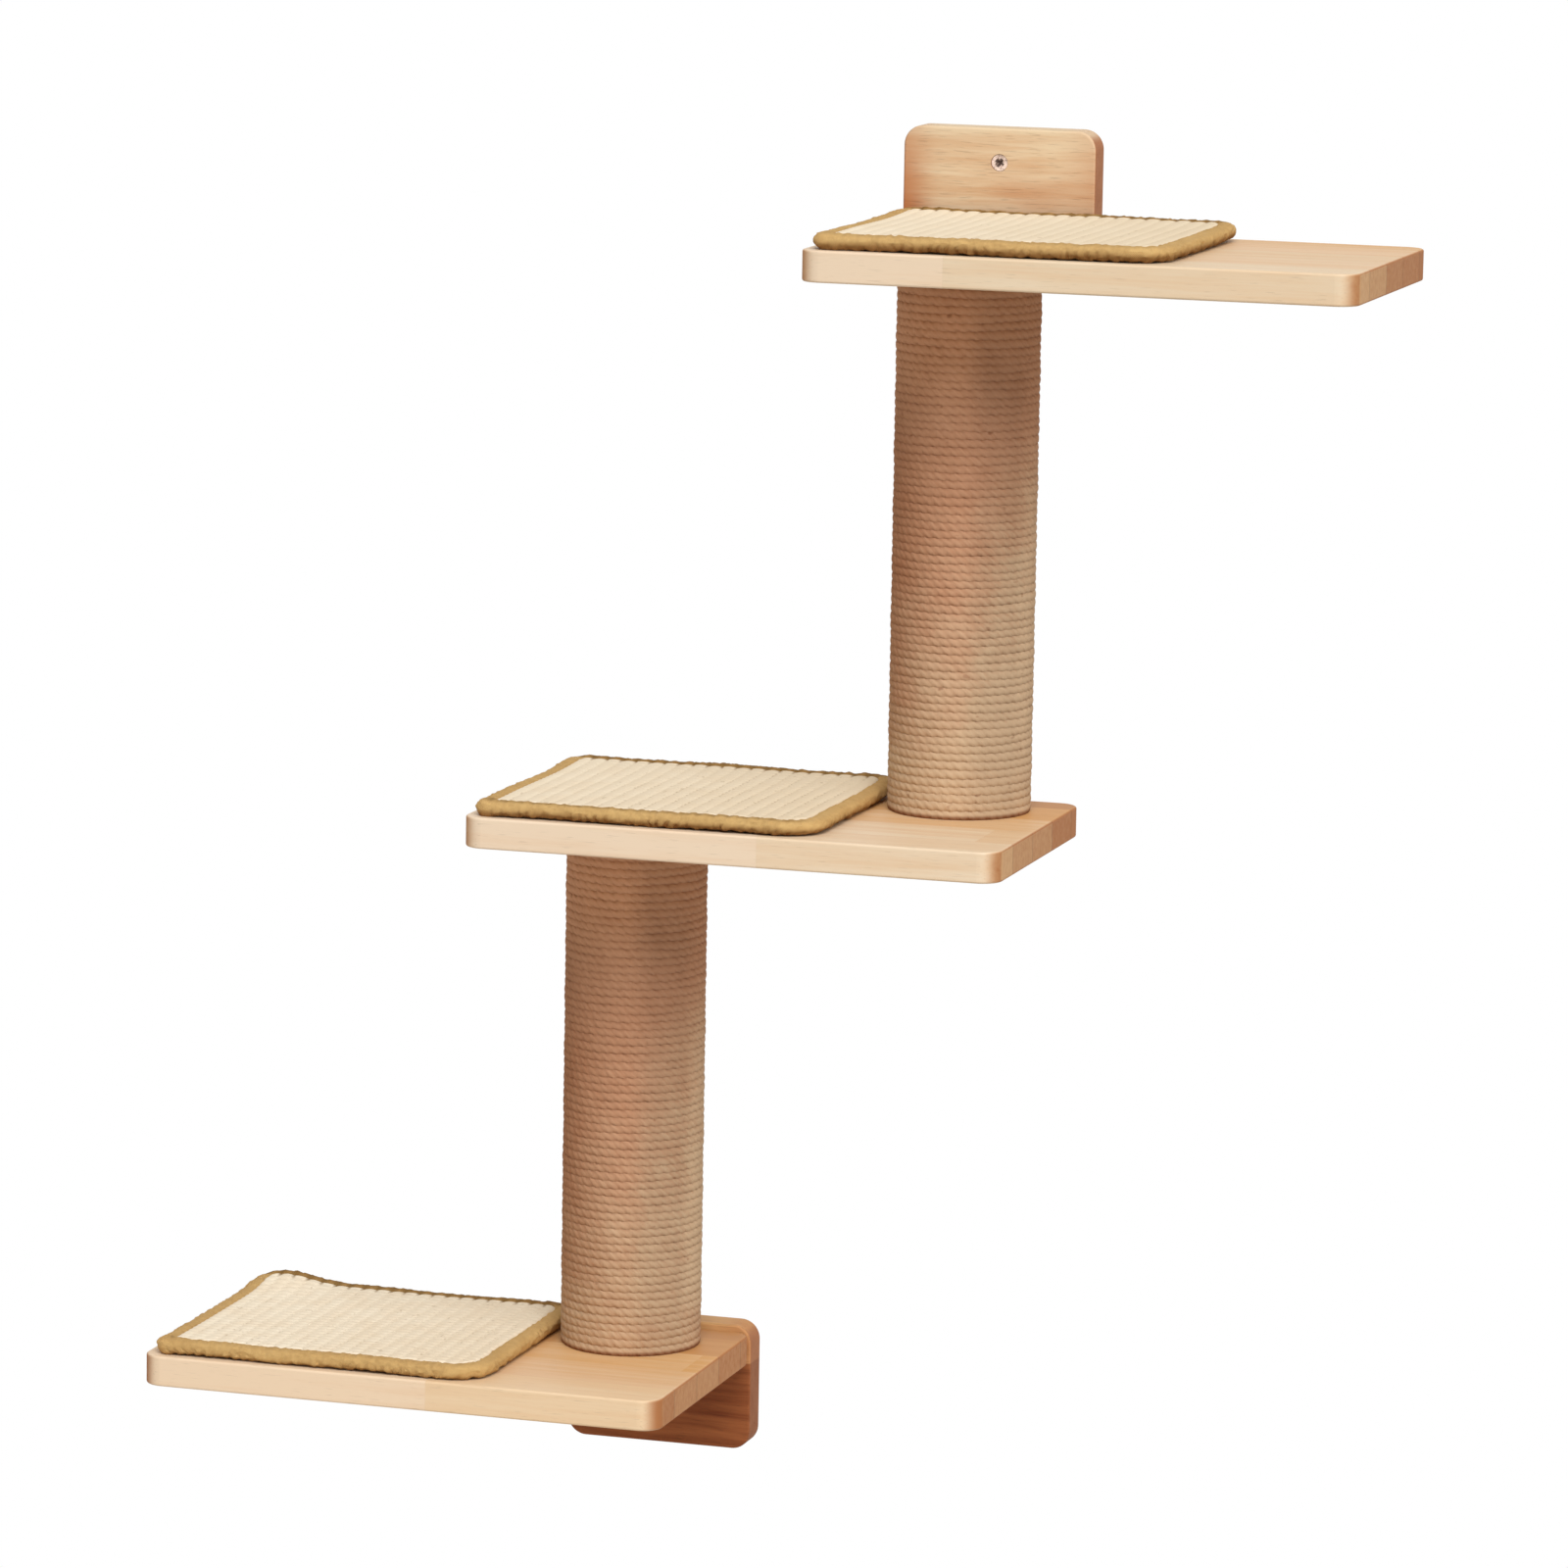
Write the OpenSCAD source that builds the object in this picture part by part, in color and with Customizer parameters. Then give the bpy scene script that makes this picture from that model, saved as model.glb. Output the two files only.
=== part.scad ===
// Cat wall shelf: three boards that step up to the right, joined by two rope-wound posts,
// held on the wall by a plate at the top and a plate at the bottom, with a lift-off mat on each board.
// Millimetres. X runs to the right, Y into the wall, Z up.
// The origin is where the upper wall screw's axis meets the wall.

/* [Boards] */
// Board length, left to right
shelf_l = 336; // [300:1:400]
// Board depth, from the wall plate to the front
shelf_d = 192; // [175:1:240]
// Board thickness
shelf_t = 19; // [18:0.5:24]
// Height from one board's top to the next board's top
shelf_rise = 351; // [300:1:420]
// Corner radius of the boards, seen from above
shelf_corner_r = 13; // [8:0.5:18]
// Rounding of every wooden edge
edge_r = 1.5; // [1:0.25:2.5]

/* [Posts] */
// Post diameter over the rope
post_od = 89; // [76:1:100]
// From the rope to the board's end
post_end_gap = 20.5; // [16:0.5:30]
// From the rope to the board's back edge
post_back_gap = 2.5; // [2:0.5:12]
// Thickness of the rope layer
rope_t = 5; // [4:0.5:7]
// Wall of the paper tube
tube_wall = 3.5; // [3:0.25:5]
// Length of the wooden plug in each end of a tube
plug_l = 24; // [21:1:36]

/* [Wall plates] */
// Plate width
plate_w = 121; // [110:1:140]
// Plate height
plate_h = 80; // [74:1:100]
// Plate thickness
plate_t = 20; // [18:0.5:26]
// Corner radius of the plates, seen from the front
plate_corner_r = 12; // [8:0.5:18]
// Plate centre, to the right of the post's axis
plate_shift = 4; // [0:0.5:8]
// How far the lower plate stands above its board
plate_lip = 4; // [2:0.5:6]
// From a plate's far edge to its wall screw
wall_screw_drop = 21; // [18:0.5:24]
// Distance between a plate's two screws into the board
plate_screw_gap = 70; // [56:1:80]

/* [Mats] */
// From the board's left end to the mat
mat_left_gap = 7; // [4:0.5:12]
// From the mat to the rope
mat_post_gap = 4; // [2:0.5:10]
// Board left bare in front of the mat and behind it
mat_margin = 4; // [2:0.5:10]
// Height of the rolled edge
piping_d = 8; // [6:0.5:10]
// Width of the rolled edge, seen from above
binding_w = 11; // [10.5:0.5:13]
// Corner radius of the mats, seen from above
mat_corner_r = 18; // [14:0.5:26]
// Width of one rib of the weave
rib_w = 9.2; // [6:0.1:12]
// Height of one rib of the weave
rib_h = 1.8; // [1:0.1:2.4]
// From a mat's edge to its hook-and-loop pads
pad_inset = 18; // [14:1:24]
// Side of a square hook-and-loop pad
pad_side = 26; // [18:1:30]
// Thickness of one half of a hook-and-loop pad
pad_t = 1; // [0.8:0.1:1.5]

/* [Fasteners] */
// Shank diameter of the post bolts
bolt_d = 8; // [6:1:10]
// Head diameter of the post bolts
bolt_head_d = 15; // [14:0.5:18]
// Socket of the post bolts, across its corners
bolt_socket = 5.8; // [4:0.2:7]
// Thread engaged in a post plug
bolt_grip = 18; // [15:1:20]
// Outside diameter of the threaded inserts
nut_d = 12; // [11.5:0.5:16]
// Length of the threaded inserts
nut_l = 14; // [10:0.5:18]
// Thread diameter of the wall screws
wall_screw_d = 5; // [4:0.5:6]
// Head diameter of the wall screws
wall_head_d = 10; // [9:0.5:12]
// Depth of the wall screws' heads below the face of their plate
wall_head_sink = 0.8; // [0.4:0.1:2]
// Turn of the wall screws' cross recess
wall_head_turn = -26; // [-90:1:90]
// Length of the wall screws behind the plate
wall_screw_reach = 36; // [30:1:60]
// Diameter of the plate screws
plate_screw_d = 4; // [3.5:0.5:5]
// Head diameter of the plate screws
plate_head_d = 9; // [8:0.5:11]
// Length of the plate screws inside the board
plate_screw_reach = 34; // [28:1:36]

/* [Hidden] */
$fn = 64;
// clearance that keeps two curved faces apart
clear = 0.3;
// overshoot of a cutting shape
over = 1;
post_len = shelf_rise - shelf_t;
post_inset = post_od / 2 + post_end_gap;
post_back = post_od / 2 + post_back_gap;
post_step = shelf_l - 2 * post_inset;
post_x = [-plate_shift - post_step, -plate_shift];
post_y = -plate_t - post_back;
upper_top = wall_screw_drop - plate_h + shelf_t;
shelf_top = [for (i = [0:2]) upper_top - (2 - i) * shelf_rise];
shelf_x = [post_x[0] + post_inset - shelf_l, post_x[0] - post_inset, post_x[1] - post_inset];
shelf_front = -plate_t - shelf_d;

// each plate: centre X, bottom Z, Z of its wall screw, Z of its plate screws
lower_plate = [
    post_x[0] + plate_shift,
    shelf_top[0] + plate_lip - plate_h,
    shelf_top[0] + plate_lip - plate_h + wall_screw_drop,
    shelf_top[0] - shelf_t / 2
];
upper_plate = [0, wall_screw_drop - plate_h, 0, shelf_top[2] - shelf_t / 2];
plates = [lower_plate, upper_plate];

mat_l = shelf_l - mat_left_gap - mat_post_gap - post_inset - post_od / 2;
mat_d = shelf_d - 2 * mat_margin;
mat_base = 2 * pad_t;
panel_inset = binding_w + clear;
panel_l = mat_l - 2 * panel_inset;
panel_d = mat_d - 2 * panel_inset;
panel_corner_r = mat_corner_r - panel_inset;
rib_n = round(panel_l / rib_w);
rib_pitch = panel_l / rib_n;
rib_r = (rib_pitch * rib_pitch / 4 + rib_h * rib_h) / (2 * rib_h);

// the rope: level turns that each climb one pitch at the back, towards the wall
rope_turns = 24;
rope_rings = 15;
rope_climb = 4;
rope_gap = 0.6;
rope_pitch = (post_len - 2 * clear + rope_gap) / rope_turns;
rope_band = rope_pitch - rope_gap;
rope_ease = 0.3 * rope_t;
rope_shoulder = 0.25 * rope_band;
rope_out_r = post_od / 2;
rope_in_r = rope_out_r - rope_t + clear;
rope_start = 90 - 360 * (rope_rings - rope_climb / 2) / rope_rings;
rope_count = rope_turns * rope_rings - rope_climb + 1;

// the tube's outside clears the flats between the rope's rings
tube_r = rope_in_r * cos(180 / rope_rings) - clear;
tube_in_r = tube_r - tube_wall;

bolt_head_r = bolt_head_d / 2;
bolt_l = shelf_t + bolt_grip;
bolt_tip = 1;
socket_depth = 0.4 * bolt_d;
nut_r = nut_d / 2;
wall_head_r = wall_head_d / 2;
wall_screw_tip = 1.6 * wall_screw_d;
plate_head_r = plate_head_d / 2;
plate_screw_l = plate_t + plate_screw_reach;
plate_screw_tip = 5;
// blunt end of a screw
tip_r = 0.4;
// a cross recess, as shares of its head's radius: reach of an arm, half its width, depth
recess_reach = 0.58;
recess_half = 0.16;
recess_depth = 0.4;

// Flat shapes

module soft_rect(w, h, r) {
    translate([r, 0]) square([w - 2 * r, h]);
    translate([0, r]) square([w, h - 2 * r]);
    for (x = [r, w - r], y = [r, h - r]) {
        translate([x, y]) circle(r);
    }
}

// half of a soft rectangle, to turn about its straight side
module soft_half(w, h, r) {
    square([w - r, h]);
    translate([0, r]) square([w, h - 2 * r]);
    for (y = [r, h - r]) {
        translate([w - r, y]) circle(r);
    }
}

// Wooden slab with rounded corners and eased edges, from the origin to [l, d, t]
module eased_slab(l, d, t, r) {
    translate([r, 0, 0]) rotate([90, 0, 90]) linear_extrude(l - 2 * r) soft_rect(d, t, edge_r);
    for (end = [0, 1]) {
        translate([end * l, end * d, 0]) rotate([0, 0, end * 180]) {
            translate([0, d - r, 0]) rotate([90, 0, 0]) linear_extrude(d - 2 * r) soft_half_end(r, t);
            translate([r, r, 0]) rotate([0, 0, 180]) rotate_extrude(angle = 90) soft_half(r, t, edge_r);
            translate([r, d - r, 0]) rotate([0, 0, 90]) rotate_extrude(angle = 90) soft_half(r, t, edge_r);
        }
    }
}

// the end strip of a slab, with its eased edges on the outer side
module soft_half_end(w, t) {
    translate([w, 0]) mirror([1, 0]) soft_half(w, t, edge_r);
}

// Holes and fasteners, each drawn from its head's face at z = 0 along +Z

module flat_head(head_r, lip, shank_r, len, tip) {
    slope = head_r - shank_r;
    rotate_extrude() polygon([
        [0, 0], [head_r, 0], [head_r, lip], [shank_r, lip + slope],
        [shank_r, len - tip], [shank_r - min(tip, shank_r - tip_r), len], [0, len]
    ]);
}

module flat_head_hole(head_r, lip, shank_r, len) {
    slope = head_r - shank_r;
    rotate_extrude() polygon([
        [0, -over], [head_r + clear, -over], [head_r + clear, lip + clear],
        [shank_r + clear, lip + clear + slope], [shank_r + clear, len], [0, len]
    ]);
}

module cross_recess(r, lean) {
    for (turn = [0, 90]) {
        rotate([0, 0, turn + lean]) translate([-recess_reach * r, -recess_half * r, -over])
            cube([2 * recess_reach * r, 2 * recess_half * r, over + recess_depth * r]);
    }
}

// Places

// foot (end 0) or head (end 1) of a post, with +Z into the post from the board's far face
module at_post_end(p, end) {
    face = end == 0 ? shelf_top[p] - shelf_t : shelf_top[p + 1];
    translate([post_x[p], post_y, face]) rotate([end * 180, 0, 0]) children();
}

module at_every_post_end() {
    for (p = [0, 1], end = [0, 1]) {
        at_post_end(p, end) children();
    }
}

// wall screw of a plate, with +Z into the wall from the plate's front face
module at_wall_screw(plate) {
    translate([plate[0], -plate_t, plate[2]]) rotate([-90, 0, 0]) children();
}

// plate screws of a plate, with +Z into the board from the plate's back face
module at_plate_screws(plate) {
    for (side = [-1, 1]) {
        translate([plate[0] + side * plate_screw_gap / 2, 0, plate[3]]) rotate([90, 0, 0]) children();
    }
}

// front left corner of a mat, on its board's top
module at_mat(i) {
    translate([shelf_x[i] + mat_left_gap, shelf_front + mat_margin, shelf_top[i]]) children();
}

// Pieces

module shelf(i) {
    color([0.88, 0.74, 0.57]) difference() {
        translate([shelf_x[i], shelf_front, shelf_top[i] - shelf_t])
            eased_slab(shelf_l, shelf_d, shelf_t, shelf_corner_r);
        at_every_post_end() flat_head_hole(bolt_head_r, clear, bolt_d / 2, shelf_t + over);
        for (plate = plates) {
            at_plate_screws(plate) cylinder(h = plate_screw_l + over, r = plate_screw_d / 2 + clear);
        }
    }
}

module post_tube(p) {
    color([0.62, 0.50, 0.38]) translate([post_x[p], post_y, shelf_top[p]]) difference() {
        cylinder(h = post_len, r = tube_r);
        translate([0, 0, -over]) cylinder(h = post_len + 2 * over, r = tube_in_r);
    }
}

module post_plug(p, end) {
    color([0.80, 0.66, 0.48]) at_post_end(p, end) translate([0, 0, shelf_t]) difference() {
        cylinder(h = plug_l, r = tube_in_r - clear / 2);
        translate([0, 0, -over]) cylinder(h = nut_l + over, r = nut_r + clear / 2);
        cylinder(h = plug_l + over, r = bolt_d / 2 + clear);
    }
}

module insert_nut() {
    difference() {
        cylinder(h = nut_l, r = nut_r);
        translate([0, 0, -over]) cylinder(h = nut_l + 2 * over, r = bolt_d / 2 + clear / 2);
    }
}

module post_insert_nuts() {
    color([0.78, 0.66, 0.36]) at_every_post_end() translate([0, 0, shelf_t]) insert_nut();
}

module post_bolts() {
    color([0.72, 0.72, 0.74]) at_every_post_end() difference() {
        flat_head(bolt_head_r, clear, bolt_d / 2, bolt_l, bolt_tip);
        translate([0, 0, -over]) linear_extrude(over + socket_depth) circle(bolt_socket / 2, $fn = 6);
    }
}

// Rope: a flat band of strands, one unbroken run from foot to head

function rope_z(i) = rope_pitch * (floor(i / rope_rings)
    + max(0, i % rope_rings - (rope_rings - rope_climb)) / rope_climb);
rope_section = [
    [rope_in_r, 0], [rope_out_r - rope_ease, 0], [rope_out_r, rope_shoulder],
    [rope_out_r, rope_band - rope_shoulder], [rope_out_r - rope_ease, rope_band], [rope_in_r, rope_band]
];
rope_sides = len(rope_section);
function rope_ring(i) = let (a = rope_start + 360 * i / rope_rings)
    [for (q = rope_section) [q[0] * cos(a), q[0] * sin(a), q[1] + rope_z(i)]];
rope_points = [for (i = [0:rope_count - 1]) each rope_ring(i)];
rope_skin = [
    for (i = [0:rope_count - 2], s = [0:rope_sides - 1])
        let (a = i * rope_sides + s, b = i * rope_sides + (s + 1) % rope_sides)
            each [[a, b, a + rope_sides], [b, b + rope_sides, a + rope_sides]]
];
rope_ends = [
    for (s = [1:rope_sides - 2])
        each [[0, s + 1, s], [0, s, s + 1] + [1, 1, 1] * (rope_count - 1) * rope_sides]
];
// least distance from a turn to the next one, over all points of both
rope_least_gap = min([
    for (i = [0:rope_count - 1 - rope_rings], p = rope_ring(i), q = rope_ring(i + rope_rings)) norm(q - p)
]);
echo(str("Least gap between two turns of rope: ", rope_least_gap, " mm"));

module post_rope(p) {
    color([0.76, 0.60, 0.43]) translate([post_x[p], post_y, shelf_top[p] + clear])
        polyhedron(rope_points, concat(rope_skin, rope_ends));
}

module wall_plate(plate) {
    color([0.84, 0.68, 0.50]) difference() {
        translate([plate[0] - plate_w / 2, 0, plate[1]]) rotate([90, 0, 0])
            eased_slab(plate_w, plate_h, plate_t, plate_corner_r);
        at_wall_screw(plate)
            flat_head_hole(wall_head_r, wall_head_sink + clear, wall_screw_d / 2, plate_t + over);
        at_plate_screws(plate) flat_head_hole(plate_head_r, 2 * clear, plate_screw_d / 2, plate_t + over);
    }
}

module plate_screws() {
    color([0.78, 0.78, 0.80]) for (plate = plates) {
        at_plate_screws(plate) translate([0, 0, clear]) difference() {
            flat_head(plate_head_r, clear, plate_screw_d / 2, plate_screw_l - clear, plate_screw_tip);
            cross_recess(plate_head_r, 0);
        }
    }
}

// the thread's full diameter starts at the wall, behind a thinner neck
module wall_screw(plate) {
    neck_r = wall_screw_d / 2 - clear;
    color([0.82, 0.76, 0.74]) at_wall_screw(plate) difference() {
        union() {
            translate([0, 0, wall_head_sink])
                flat_head(wall_head_r, clear, neck_r, plate_t + over - wall_head_sink, over / 2);
            translate([0, 0, plate_t]) cylinder(h = wall_screw_reach, r = wall_screw_d / 2);
            translate([0, 0, plate_t + wall_screw_reach])
                cylinder(h = wall_screw_tip, r1 = wall_screw_d / 2, r2 = tip_r);
        }
        translate([0, 0, wall_head_sink]) cross_recess(wall_head_r, wall_head_turn);
    }
}

module mat_pads(i, level) {
    far = [mat_l - pad_inset - pad_side, mat_d - pad_inset - pad_side];
    at_mat(i) for (x = [pad_inset, far[0]], y = [pad_inset, far[1]]) {
        translate([x, y, level * pad_t]) cube([pad_side, pad_side, pad_t]);
    }
}

module hook_pads(i) {
    color([0.25, 0.24, 0.23]) mat_pads(i, 0);
}

module mat_loop_pads(i) {
    color([0.35, 0.33, 0.31]) mat_pads(i, 1);
}

// section of the rolled fabric edge, from its outer side inwards
module roll_section() {
    r = piping_d / 2;
    translate([r, 0]) square([binding_w - piping_d, piping_d]);
    for (x = [r, binding_w - r]) {
        translate([x, r]) circle(r);
    }
}

// rolled fabric edge: straight runs joined by quarter bends
module mat_piping(i) {
    r = mat_corner_r;
    color([0.78, 0.63, 0.38]) at_mat(i) translate([0, 0, mat_base]) for (end = [0, 1]) {
        translate([end * mat_l, end * mat_d, 0]) rotate([0, 0, end * 180]) {
            translate([r, 0, 0]) rotate([90, 0, 90]) linear_extrude(mat_l - 2 * r) roll_section();
            translate([0, mat_d - r, 0]) rotate([90, 0, 0]) linear_extrude(mat_d - 2 * r) roll_section();
            for (side = [0, 1]) {
                translate([r, side ? mat_d - r : r, 0]) rotate([0, 0, side ? 90 : 180])
                    rotate_extrude(angle = 90) translate([r, 0]) mirror([1, 0]) roll_section();
            }
        }
    }
}

// ribbed weave, with the ribs from front to back
module mat_panel(i) {
    crest = piping_d + clear / 2;
    color([0.93, 0.89, 0.80]) at_mat(i) translate([panel_inset, panel_inset, mat_base]) intersection() {
        linear_extrude(piping_d + over) soft_rect(panel_l, panel_d, panel_corner_r);
        translate([0, panel_d, 0]) rotate([90, 0, 0]) linear_extrude(panel_d) {
            square([panel_l, crest - rib_h + clear]);
            intersection() {
                square([panel_l, crest]);
                for (k = [0:rib_n - 1]) {
                    translate([(k + 0.5) * rib_pitch, crest - rib_r]) circle(rib_r);
                }
            }
        }
    }
}

shelf(0);  // lower_shelf
shelf(1);  // middle_shelf
shelf(2);  // upper_shelf
post_tube(0);  // lower_post_tube
post_tube(1);  // upper_post_tube
post_rope(0);  // lower_post_rope
post_rope(1);  // upper_post_rope
post_plug(0, 0);  // lower_post_bottom_plug
post_plug(0, 1);  // lower_post_top_plug
post_plug(1, 0);  // upper_post_bottom_plug
post_plug(1, 1);  // upper_post_top_plug
post_insert_nuts();
post_bolts();
wall_plate(lower_plate);  // lower_wall_plate
wall_plate(upper_plate);  // upper_wall_plate
plate_screws();
wall_screw(lower_plate);  // lower_wall_screw
wall_screw(upper_plate);  // upper_wall_screw
hook_pads(0);  // lower_hook_pads
hook_pads(1);  // middle_hook_pads
hook_pads(2);  // upper_hook_pads
mat_panel(0);  // lower_mat_panel
mat_piping(0);  // lower_mat_piping
mat_loop_pads(0);  // lower_mat_loop_pads
mat_panel(1);  // middle_mat_panel
mat_piping(1);  // middle_mat_piping
mat_loop_pads(1);  // middle_mat_loop_pads
mat_panel(2);  // upper_mat_panel
mat_piping(2);  // upper_mat_piping
mat_loop_pads(2);  // upper_mat_loop_pads
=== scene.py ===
import math
from collections import namedtuple

import bpy
import numpy as np
from bpy.props import FloatProperty, FloatVectorProperty, IntProperty, PointerProperty
from mathutils import Matrix, Vector, noise


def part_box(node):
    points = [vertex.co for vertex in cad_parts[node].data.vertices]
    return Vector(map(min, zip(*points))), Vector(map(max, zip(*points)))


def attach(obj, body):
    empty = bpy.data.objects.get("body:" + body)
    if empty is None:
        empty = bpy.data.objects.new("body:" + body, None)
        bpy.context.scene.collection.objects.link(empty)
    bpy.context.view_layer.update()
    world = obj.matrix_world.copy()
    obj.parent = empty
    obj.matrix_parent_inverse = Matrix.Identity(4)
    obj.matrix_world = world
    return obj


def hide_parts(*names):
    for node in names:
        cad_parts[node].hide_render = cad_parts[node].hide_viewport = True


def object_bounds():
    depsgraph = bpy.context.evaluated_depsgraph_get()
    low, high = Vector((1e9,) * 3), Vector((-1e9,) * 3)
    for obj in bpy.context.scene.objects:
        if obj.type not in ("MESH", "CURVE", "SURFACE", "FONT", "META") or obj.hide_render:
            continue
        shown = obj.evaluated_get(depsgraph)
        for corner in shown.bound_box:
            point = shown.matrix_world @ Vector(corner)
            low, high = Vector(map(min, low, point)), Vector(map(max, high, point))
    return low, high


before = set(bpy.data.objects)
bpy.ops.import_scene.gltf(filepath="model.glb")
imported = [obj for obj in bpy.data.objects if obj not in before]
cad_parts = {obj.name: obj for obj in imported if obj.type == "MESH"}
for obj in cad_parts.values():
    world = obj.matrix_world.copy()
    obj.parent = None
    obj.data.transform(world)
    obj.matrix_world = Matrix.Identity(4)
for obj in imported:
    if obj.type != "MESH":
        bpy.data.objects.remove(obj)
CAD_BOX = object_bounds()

bl_info = {
    "name": "Cat Wall Shelf",
    "version": (1, 0, 0),
    "blender": (4, 5, 0),
    "location": "3D View > Sidebar > Wall Shelf",
    "description": "Dresses a stepped cat wall shelf: timber, wound rope, woven mats and their bindings",
    "category": "Object",
}

LEVELS = ("lower", "middle", "upper")
POSTS = ("lower", "upper")
FRAME_BODY = "frame"
FULL_TURN = 2 * math.pi
WHITE = (1, 1, 1, 1)
SMOOTH_ANGLE = math.radians(50)

Post = namedtuple("Post", "x y foot head outer")
Mat = namedtuple("Mat", "x y half_x half_y under top")


def paint(red, green, blue):
    """A screen colour, each part from 0 to 255, as the linear colour that shaders use."""
    parts = (red / 255, green / 255, blue / 255)
    return tuple(part / 12.92 if part <= 0.04045 else ((part + 0.055) / 1.055) ** 2.4 for part in parts)


def length(label, note, default):
    """A length that a user may change, in metres."""
    return FloatProperty(name=label, description=note, default=default, min=0, unit="LENGTH", precision=4)


def angle(label, note, degrees):
    """An angle that a user may change."""
    return FloatProperty(name=label, description=note, default=math.radians(degrees), subtype="ANGLE")


def tally(label, note, default):
    """A number of like things that a user may change."""
    return IntProperty(name=label, description=note, default=default, min=4)


def per_level(label, note, *defaults):
    """A number for each board, mat or post, the lowest first, that a user may change."""
    return FloatVectorProperty(name=label, description=note, default=defaults, size=len(defaults))


def positions(label, note, *defaults):
    """Three positions along an axis, or one in space, that a user may change, in metres."""
    return FloatVectorProperty(
        name=label, description=note, default=defaults, size=3, subtype="TRANSLATION"
    )


def colour(label, note, red, green, blue):
    """A colour that a user may change."""
    return FloatVectorProperty(
        name=label, description=note, default=paint(red, green, blue), size=3, min=0, max=1, subtype="COLOR"
    )


class ShelfSizes(bpy.types.PropertyGroup):
    """Sizes of the pieces that are dressed here. The frame gives all the others."""

    rope_turns: tally("Rope turns", "Turns of rope on each post", 66)
    rope_lay: length("Rope lay", "Length in which a strand goes once round the rope", 0.018)
    rope_swell: length("Rope swell", "How much thicker the rope is than its turns are apart", 0.0022)
    rope_press: FloatProperty(
        name="Rope press",
        description="Share of its thickness that the rope keeps when wound",
        default=0.5,
        min=0.3,
        max=1,
    )
    strand_groove: length("Strand groove", "Depth of the grooves between the rope's three strands", 0.0004)
    rope_stray: length("Rope stray", "How far a turn strays from its level", 0.0006)
    shade_turn: angle("Shade turn", "Turn of the ropes' painted shade, about as far as the camera's", 17)
    # Painted light: how much paler each post's rope is painted towards its foot.
    foot_pales: per_level("Foot paleness", "How much paler the rope is at each post's foot", 0.15, 0.5)
    weave_ribs: tally("Ribs", "Ribs across each mat", 21)
    rib_height: length("Rib height", "Height of a rib over the groove beside it", 0.0004)
    knot_pitch: length("Knot pitch", "Distance between the knots along a rib", 0.0069)
    knot_dip: length("Knot dip", "Depth of the dimple between two knots", 0.0007)
    weave_tuck: length("Weave tuck", "How far the weave reaches under its binding", 0.0022)
    # Painted shade of each mat's weave.
    weave_darks: per_level("Weave darkness", "How much darker the weave of each mat is", 0, 0.45, 0.45)
    binding_width: length("Binding width", "Width of the rolled edge, seen from above", 0.0113)
    binding_height: length("Binding height", "Height of the rolled edge", 0.0078)
    binding_sag: length("Binding sag", "How far the roll hangs below its mat", 0.0014)
    binding_scallop: length("Binding scallop", "How far a rib pushes the binding's inner edge back", 0.0013)
    binding_pucker: length("Binding pucker", "Depth of the puckers in the rolled edge", 0.0007)
    # How strong the painted shade of the rib ends is on each front roll.
    front_scallop_shades: per_level("Front scallops", "How clearly ribs show in the front roll", 0.1, 0.6, 0.15)
    # How far up the painted shade on each binding's underside reaches.
    binding_browns: per_level(
        "Binding browns", "How far up the brown underside reaches, as a share of a turn", 0.015, 0.09, 0.11
    )
    square_corner: length("Folded corner", "Corner radius where the binding's ends are folded", 0.0095)
    slack_corner: length("Slack corner", "Corner radius at the near right of the mats", 0.025)
    round_corner: length("Round corner", "Corner radius of the mats elsewhere", 0.018)
    edge_wave: length("Edge wave", "How far the mats' edges wave up and down", 0.0005)
    back_lift: length("Back lift", "How far a mat's back edge stands up", 0.0022)
    corner_lift: length("Corner lift", "How far the lower mat's far left corner stands up", 0.006)
    tape_border: length("Tape border", "Plain border of a square of tape", 0.0014)
    tape_corner: length("Tape corner", "Corner radius of a square of tape", 0.0022)
    screw_lean: angle("Screw lean", "How far the wall screws' cross is turned", -26)
    # How deep the painted shade in the wall screws' cross reaches.
    cross_shade_depth: length("Cross depth", "How deep the wall screws' cross looks dark", 0.0022)
    stave_length: length("Stave length", "Length of a stave in a board", 0.33)
    stave_cut: length("Stave cut", "Width that is cut off a board's front stave", 0.01)
    staves: FloatProperty(name="Staves", description="Stave widths across a board", default=4.3, min=1)
    joint_strides: per_level("Joint strides", "How far joints move from stave to stave", 0.29, 0.62, 0.95)
    front_joints: positions("Front joints", "Where each board's front stave ends", -0.294, -0.088, 0.02)
    # Back staves: each board's deeper stave tone towards the back, with painted shade on its tops.
    back_tones_and_shades: per_level("Back staves", "How much deeper the back staves' colour is", 1.1, 0.75, 0.1)
    end_starts: per_level("End starts", "How much darker the front end grain of each board is", 0.6, 0, 0)
    end_grows: per_level("End growth", "How much the end grain darkens from stave to stave", 0, 0.2, 0.25)
    floor_drop: length("Floor drop", "Distance from the object's foot to the floor", 0.43)
    floor_radius: length("Floor radius", "Radius of the round floor", 1.25)


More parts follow.
